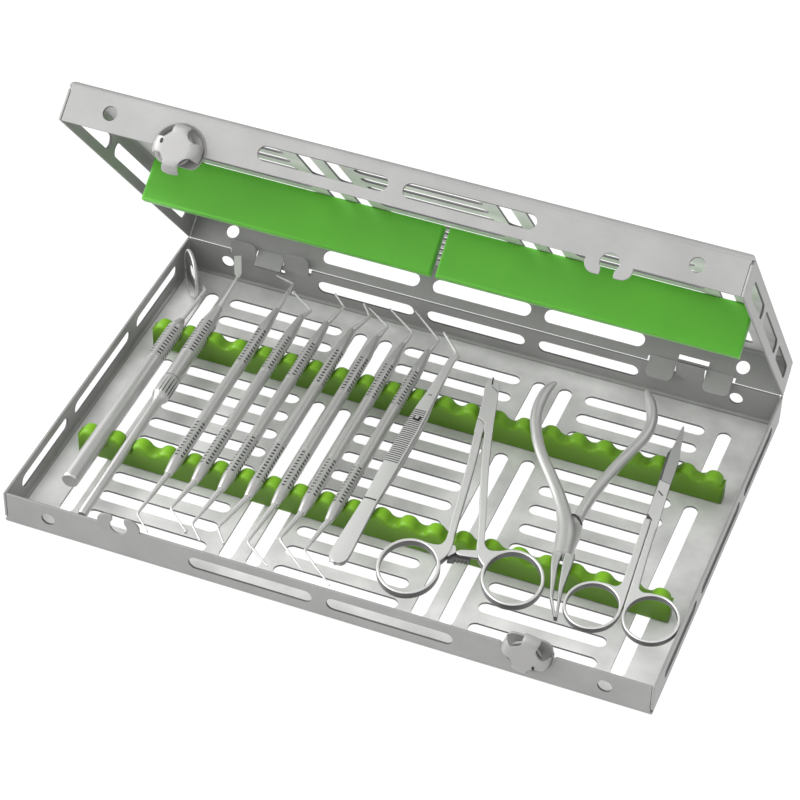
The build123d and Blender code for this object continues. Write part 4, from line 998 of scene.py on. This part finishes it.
# Painted shade: a dark tube filling the gap at the joint.
GAP_PATH = [(-3.5, 12.9, 1.7), (-2.2, 12.0, 2.5), (-0.7, 10.8, 2.8), (0.8, 9.6, 2.6), (2.0, 8.6, 1.6)]
GAP_RADII = [0.4, 0.5, 0.5, 0.5, 0.4]
BEAK_THICK, BEAK_EDGE = 3.2, 0.7
shape = Shape()
forged_bar(shape, RIGHT_HANDLE, PLIERS, 0.95)
shape.plate(PLIER_LAP, thick=2.0, edge=0.6, place=raised(PLIERS, -0.9))
shape.plate(strip(LEFT_BEAK), thick=BEAK_THICK, edge=BEAK_EDGE, place=PLIERS, side=SIDE_SHADE, steps=3)
shape.tube(GAP_PATH, GAP_RADII, PLIERS, sides=12, index=DARK)
shape.done("pliers_right_half", "pliers_half", [FORGED_STEEL, SIDE_SHADE_STEEL, SHADE_AND_STAMP_STEEL],
           ["pliers_right"])
shape = Shape()
forged_bar(shape, LEFT_HANDLE, PLIERS, 0.72)
shape.plate(strip(RIGHT_BEAK), thick=BEAK_THICK, edge=BEAK_EDGE, place=PLIERS, side=SIDE_SHADE, steps=3)
shape.done("pliers_left_half", "pliers", [FORGED_STEEL, SIDE_SHADE_STEEL], ["pliers_left"])
shape = Shape()
shape.plate(disc(0, 0, 1.7), thick=3.2, edge=0.15, place=raised(PLIERS, -0.5))
shape.done("pliers_rivet", "pliers", [TOOL_STEEL], ["pliers_pin"])

# %%
SCISSOR_THICK, SCISSOR_TOP = 2.9, 1.45
SCISSOR_INNER = [(0.15, -7.0), (0.15, -30.0), (0.15, -57.0)]
SCISSOR_OUTER = [(3.0, -7.0), (3.0, -25.7), (3.4, -42.0)]
SCISSOR_WEBS = [(3.8, -46.6), (5.8, -48.3), (8.6, -47.9)], [(0.3, -60.0)]
SCISSOR_RING = (11.9, -61.2, 23.2, 26.8, 3.0, 80, -178, 1.25)
UPPER_BODY = [(0.2, -7.1), (-2.3, -3.7), (-2.1, 8.3), (-1.9, 17.0), (2.9, 15.4), (3.1, 1.6), (3.1, -12.2),
              (0.2, -12.2)]
UPPER_BLADE = [(-1.2, 14.0), (-1.4, 23.2), (-1.3, 36.0), (-0.6, 42.0), (0.1, 51.5), (0.6, 52.6), (1.0, 52.0),
               (1.7, 46.0), (2.3, 39.7), (3.3, 30.5), (3.2, 27.1), (3.0, 14.0)]
LOWER_BLADE = [(2.7, -5.5), (3.0, 17.0), (2.2, 38.0), (0.4, 51.0), (-1.2, 40.0), (-2.6, 35.5), (-2.6, 3.0),
               (-2.7, -5.5)]
# Painted shade along the step from the upper body to its blade.
STEP_LINE = strip([(-1.9, 17.1, 0.12), (2.9, 15.5, 0.12)])
STAMPED_MARK = strip([(-0.9, 10.2, 0.25), (1.3, 7.8, 0.25)])
GROUND, STAMP = 2, 3
SCISSOR_STEELS = [TOOL_STEEL, SIDE_SHADE_STEEL, GROUND_STEEL, SHADE_AND_STAMP_STEEL]
shape = Shape()
handle(shape, 1, SCISSOR_INNER, SCISSOR_OUTER, *SCISSOR_WEBS, SCISSOR_RING, SCISSORS, SCISSOR_THICK)
# The lower blade is painted shade all over.
shape.plate(LOWER_BLADE, thick=1.3, edge=0.2, place=raised(SCISSORS, -0.75), side=SIDE_SHADE, index=SIDE_SHADE)
shape.done("scissors_left_half", "scissors_half", SCISSOR_STEELS, ["scissors_left"])
shape = Shape()
handle(shape, -1, SCISSOR_INNER, SCISSOR_OUTER, *SCISSOR_WEBS, SCISSOR_RING, SCISSORS, SCISSOR_THICK)
shape.plate(UPPER_BODY, thick=1.5, edge=0.2, place=raised(SCISSORS, 0.72), side=SIDE_SHADE)
shape.plate(UPPER_BLADE, thick=1.3, edge=0.15, place=raised(SCISSORS, 0.68), side=SIDE_SHADE, index=GROUND)
shape.mark(STEP_LINE, raised(SCISSORS, SCISSOR_TOP - 0.04), SIDE_SHADE)
shape.mark(STAMPED_MARK, raised(SCISSORS, SCISSOR_TOP + 0.06), STAMP)
shape.done("scissors_right_half", "scissors", SCISSOR_STEELS, ["scissors_right"])
shape = Shape()
shape.plate(disc(0, 0, 1.5), thick=2.8, edge=0.15, place=SCISSORS)
shape.done("scissors_screw", "scissors", [TOOL_STEEL], ["scissors_pin"])

# %% [markdown]
# ## Stage, light and camera

# %%
FLOOR_HALF, FLOOR_DROP = 4.0, 0.0008
floor_mesh = bpy.data.meshes.new("floor")
floor_bm = bmesh.new()
bmesh.ops.create_grid(floor_bm, x_segments=1, y_segments=1, size=FLOOR_HALF)
bmesh.ops.translate(floor_bm, vec=(0, 0, -FLOOR_DROP), verts=floor_bm.verts)
floor_bm.to_mesh(floor_mesh)
floor_bm.free()
floor = bpy.data.objects.new("floor", floor_mesh)
bpy.context.scene.collection.objects.link(floor)
paper, _, paper_shader = material("paper")
paper_shader.inputs["Base Color"].default_value = (0.08, 0.08, 0.08, 1)
paper_shader.inputs["Roughness"].default_value = 1.0
paper_shader.inputs["Specular IOR Level"].default_value = 0.0
paper_shader.inputs["Emission Color"].default_value = (1, 1, 1, 1)
paper_shader.inputs["Emission Strength"].default_value = 0.97
floor_mesh.materials.append(paper)

# A dim room, brighter overhead, with a strong soft glow from the left and faint ones from the right and front.
DIM, OVERHEAD, OVERHEAD_FROM, DARKER_BEHIND = 0.08, 0.4, 0.6, 0.3
LEFT_GLOW, RIGHT_GLOW, FRONT_GLOW, GLOW_FALL = 7.0, 1.0, 0.6, 8.0
world = bpy.data.worlds.new("studio")
world.use_nodes = True
sky = world.node_tree
coords = sky.nodes.new("ShaderNodeTexCoord")
split = sky.nodes.new("ShaderNodeSeparateXYZ")
sky.links.new(coords.outputs["Generated"], split.inputs[0])
right_part, back_part, up_part = (Wire(sky, split.outputs[axis]) for axis in "XYZ")


def facing(x, y, z):
    """How far a direction of the sky leans the given way, from 0."""
    return (right_part * x + back_part * y + up_part * z).math("MAXIMUM", 0.0)


rise = (up_part / OVERHEAD_FROM).math("MULTIPLY", 1.0, clamp=True)
front = facing(0, -0.75, 0.66)
room = DIM + rise * rise * (3.0 - rise * 2.0) * OVERHEAD
level = room * (1.0 - facing(0, 1, 0) * DARKER_BEHIND) + front * front * FRONT_GLOW
level = level + facing(-0.85, -0.1, 0.52).math("POWER", GLOW_FALL) * LEFT_GLOW
level = level + facing(0.75, -0.05, 0.66).math("POWER", GLOW_FALL) * RIGHT_GLOW
join(sky, tinted(sky, level, (1.0, 1.0, 1.0)), sky.nodes["Background"].inputs["Color"])
sky.nodes["Background"].inputs["Strength"].default_value = 1.0
bpy.context.scene.world = world


def softbox(name, at, aim, size, power):
    """A large soft lamp, in metres and watts."""
    lamp = bpy.data.lights.new(name, "AREA")
    lamp.shape = "RECTANGLE"
    lamp.size, lamp.size_y = size
    lamp.energy = power
    holder = bpy.data.objects.new(name, lamp)
    holder.location = at
    holder.rotation_mode = "QUATERNION"
    holder.rotation_quaternion = (Vector(aim) - Vector(at)).to_track_quat("-Z", "Y")
    bpy.context.scene.collection.objects.link(holder)


softbox("key", (-0.5, -0.7, 1.3), (0, 0, 0), (0.9, 0.6), 1)
softbox("rear", (0.4, 0.9, 0.9), (0, 0, 0.05), (0.8, 0.4), 1.5)

CAMERA_AT, LENS, SENSOR = (299.035, -817.509, 825.004), 127.451, 36
AZIMUTH, ELEVATION, ROLL = radians(20.187), radians(41.99), radians(1.7405)
back_way = Vector((sin(AZIMUTH) * cos(ELEVATION), -cos(AZIMUTH) * cos(ELEVATION), sin(ELEVATION)))
right_way = Vector((cos(AZIMUTH), sin(AZIMUTH), 0))
up_way = back_way.cross(right_way)
rolled_right = right_way * cos(ROLL) + up_way * sin(ROLL)
rolled_up = up_way * cos(ROLL) - right_way * sin(ROLL)
turned_axes = Matrix((rolled_right, rolled_up, back_way)).transposed().to_4x4()
camera_data = bpy.data.cameras.new("camera")
camera_data.sensor_width = SENSOR
camera_data.lens = LENS
camera_data.clip_end = 10
camera = bpy.data.objects.new("camera", camera_data)
camera.matrix_world = Matrix.Translation(Vector(CAMERA_AT) * MM) @ turned_axes
bpy.context.scene.collection.objects.link(camera)
scene = bpy.context.scene
scene.camera = camera
scene.render.resolution_x = 800
scene.render.resolution_y = 800
scene.view_settings.view_transform = "Standard"
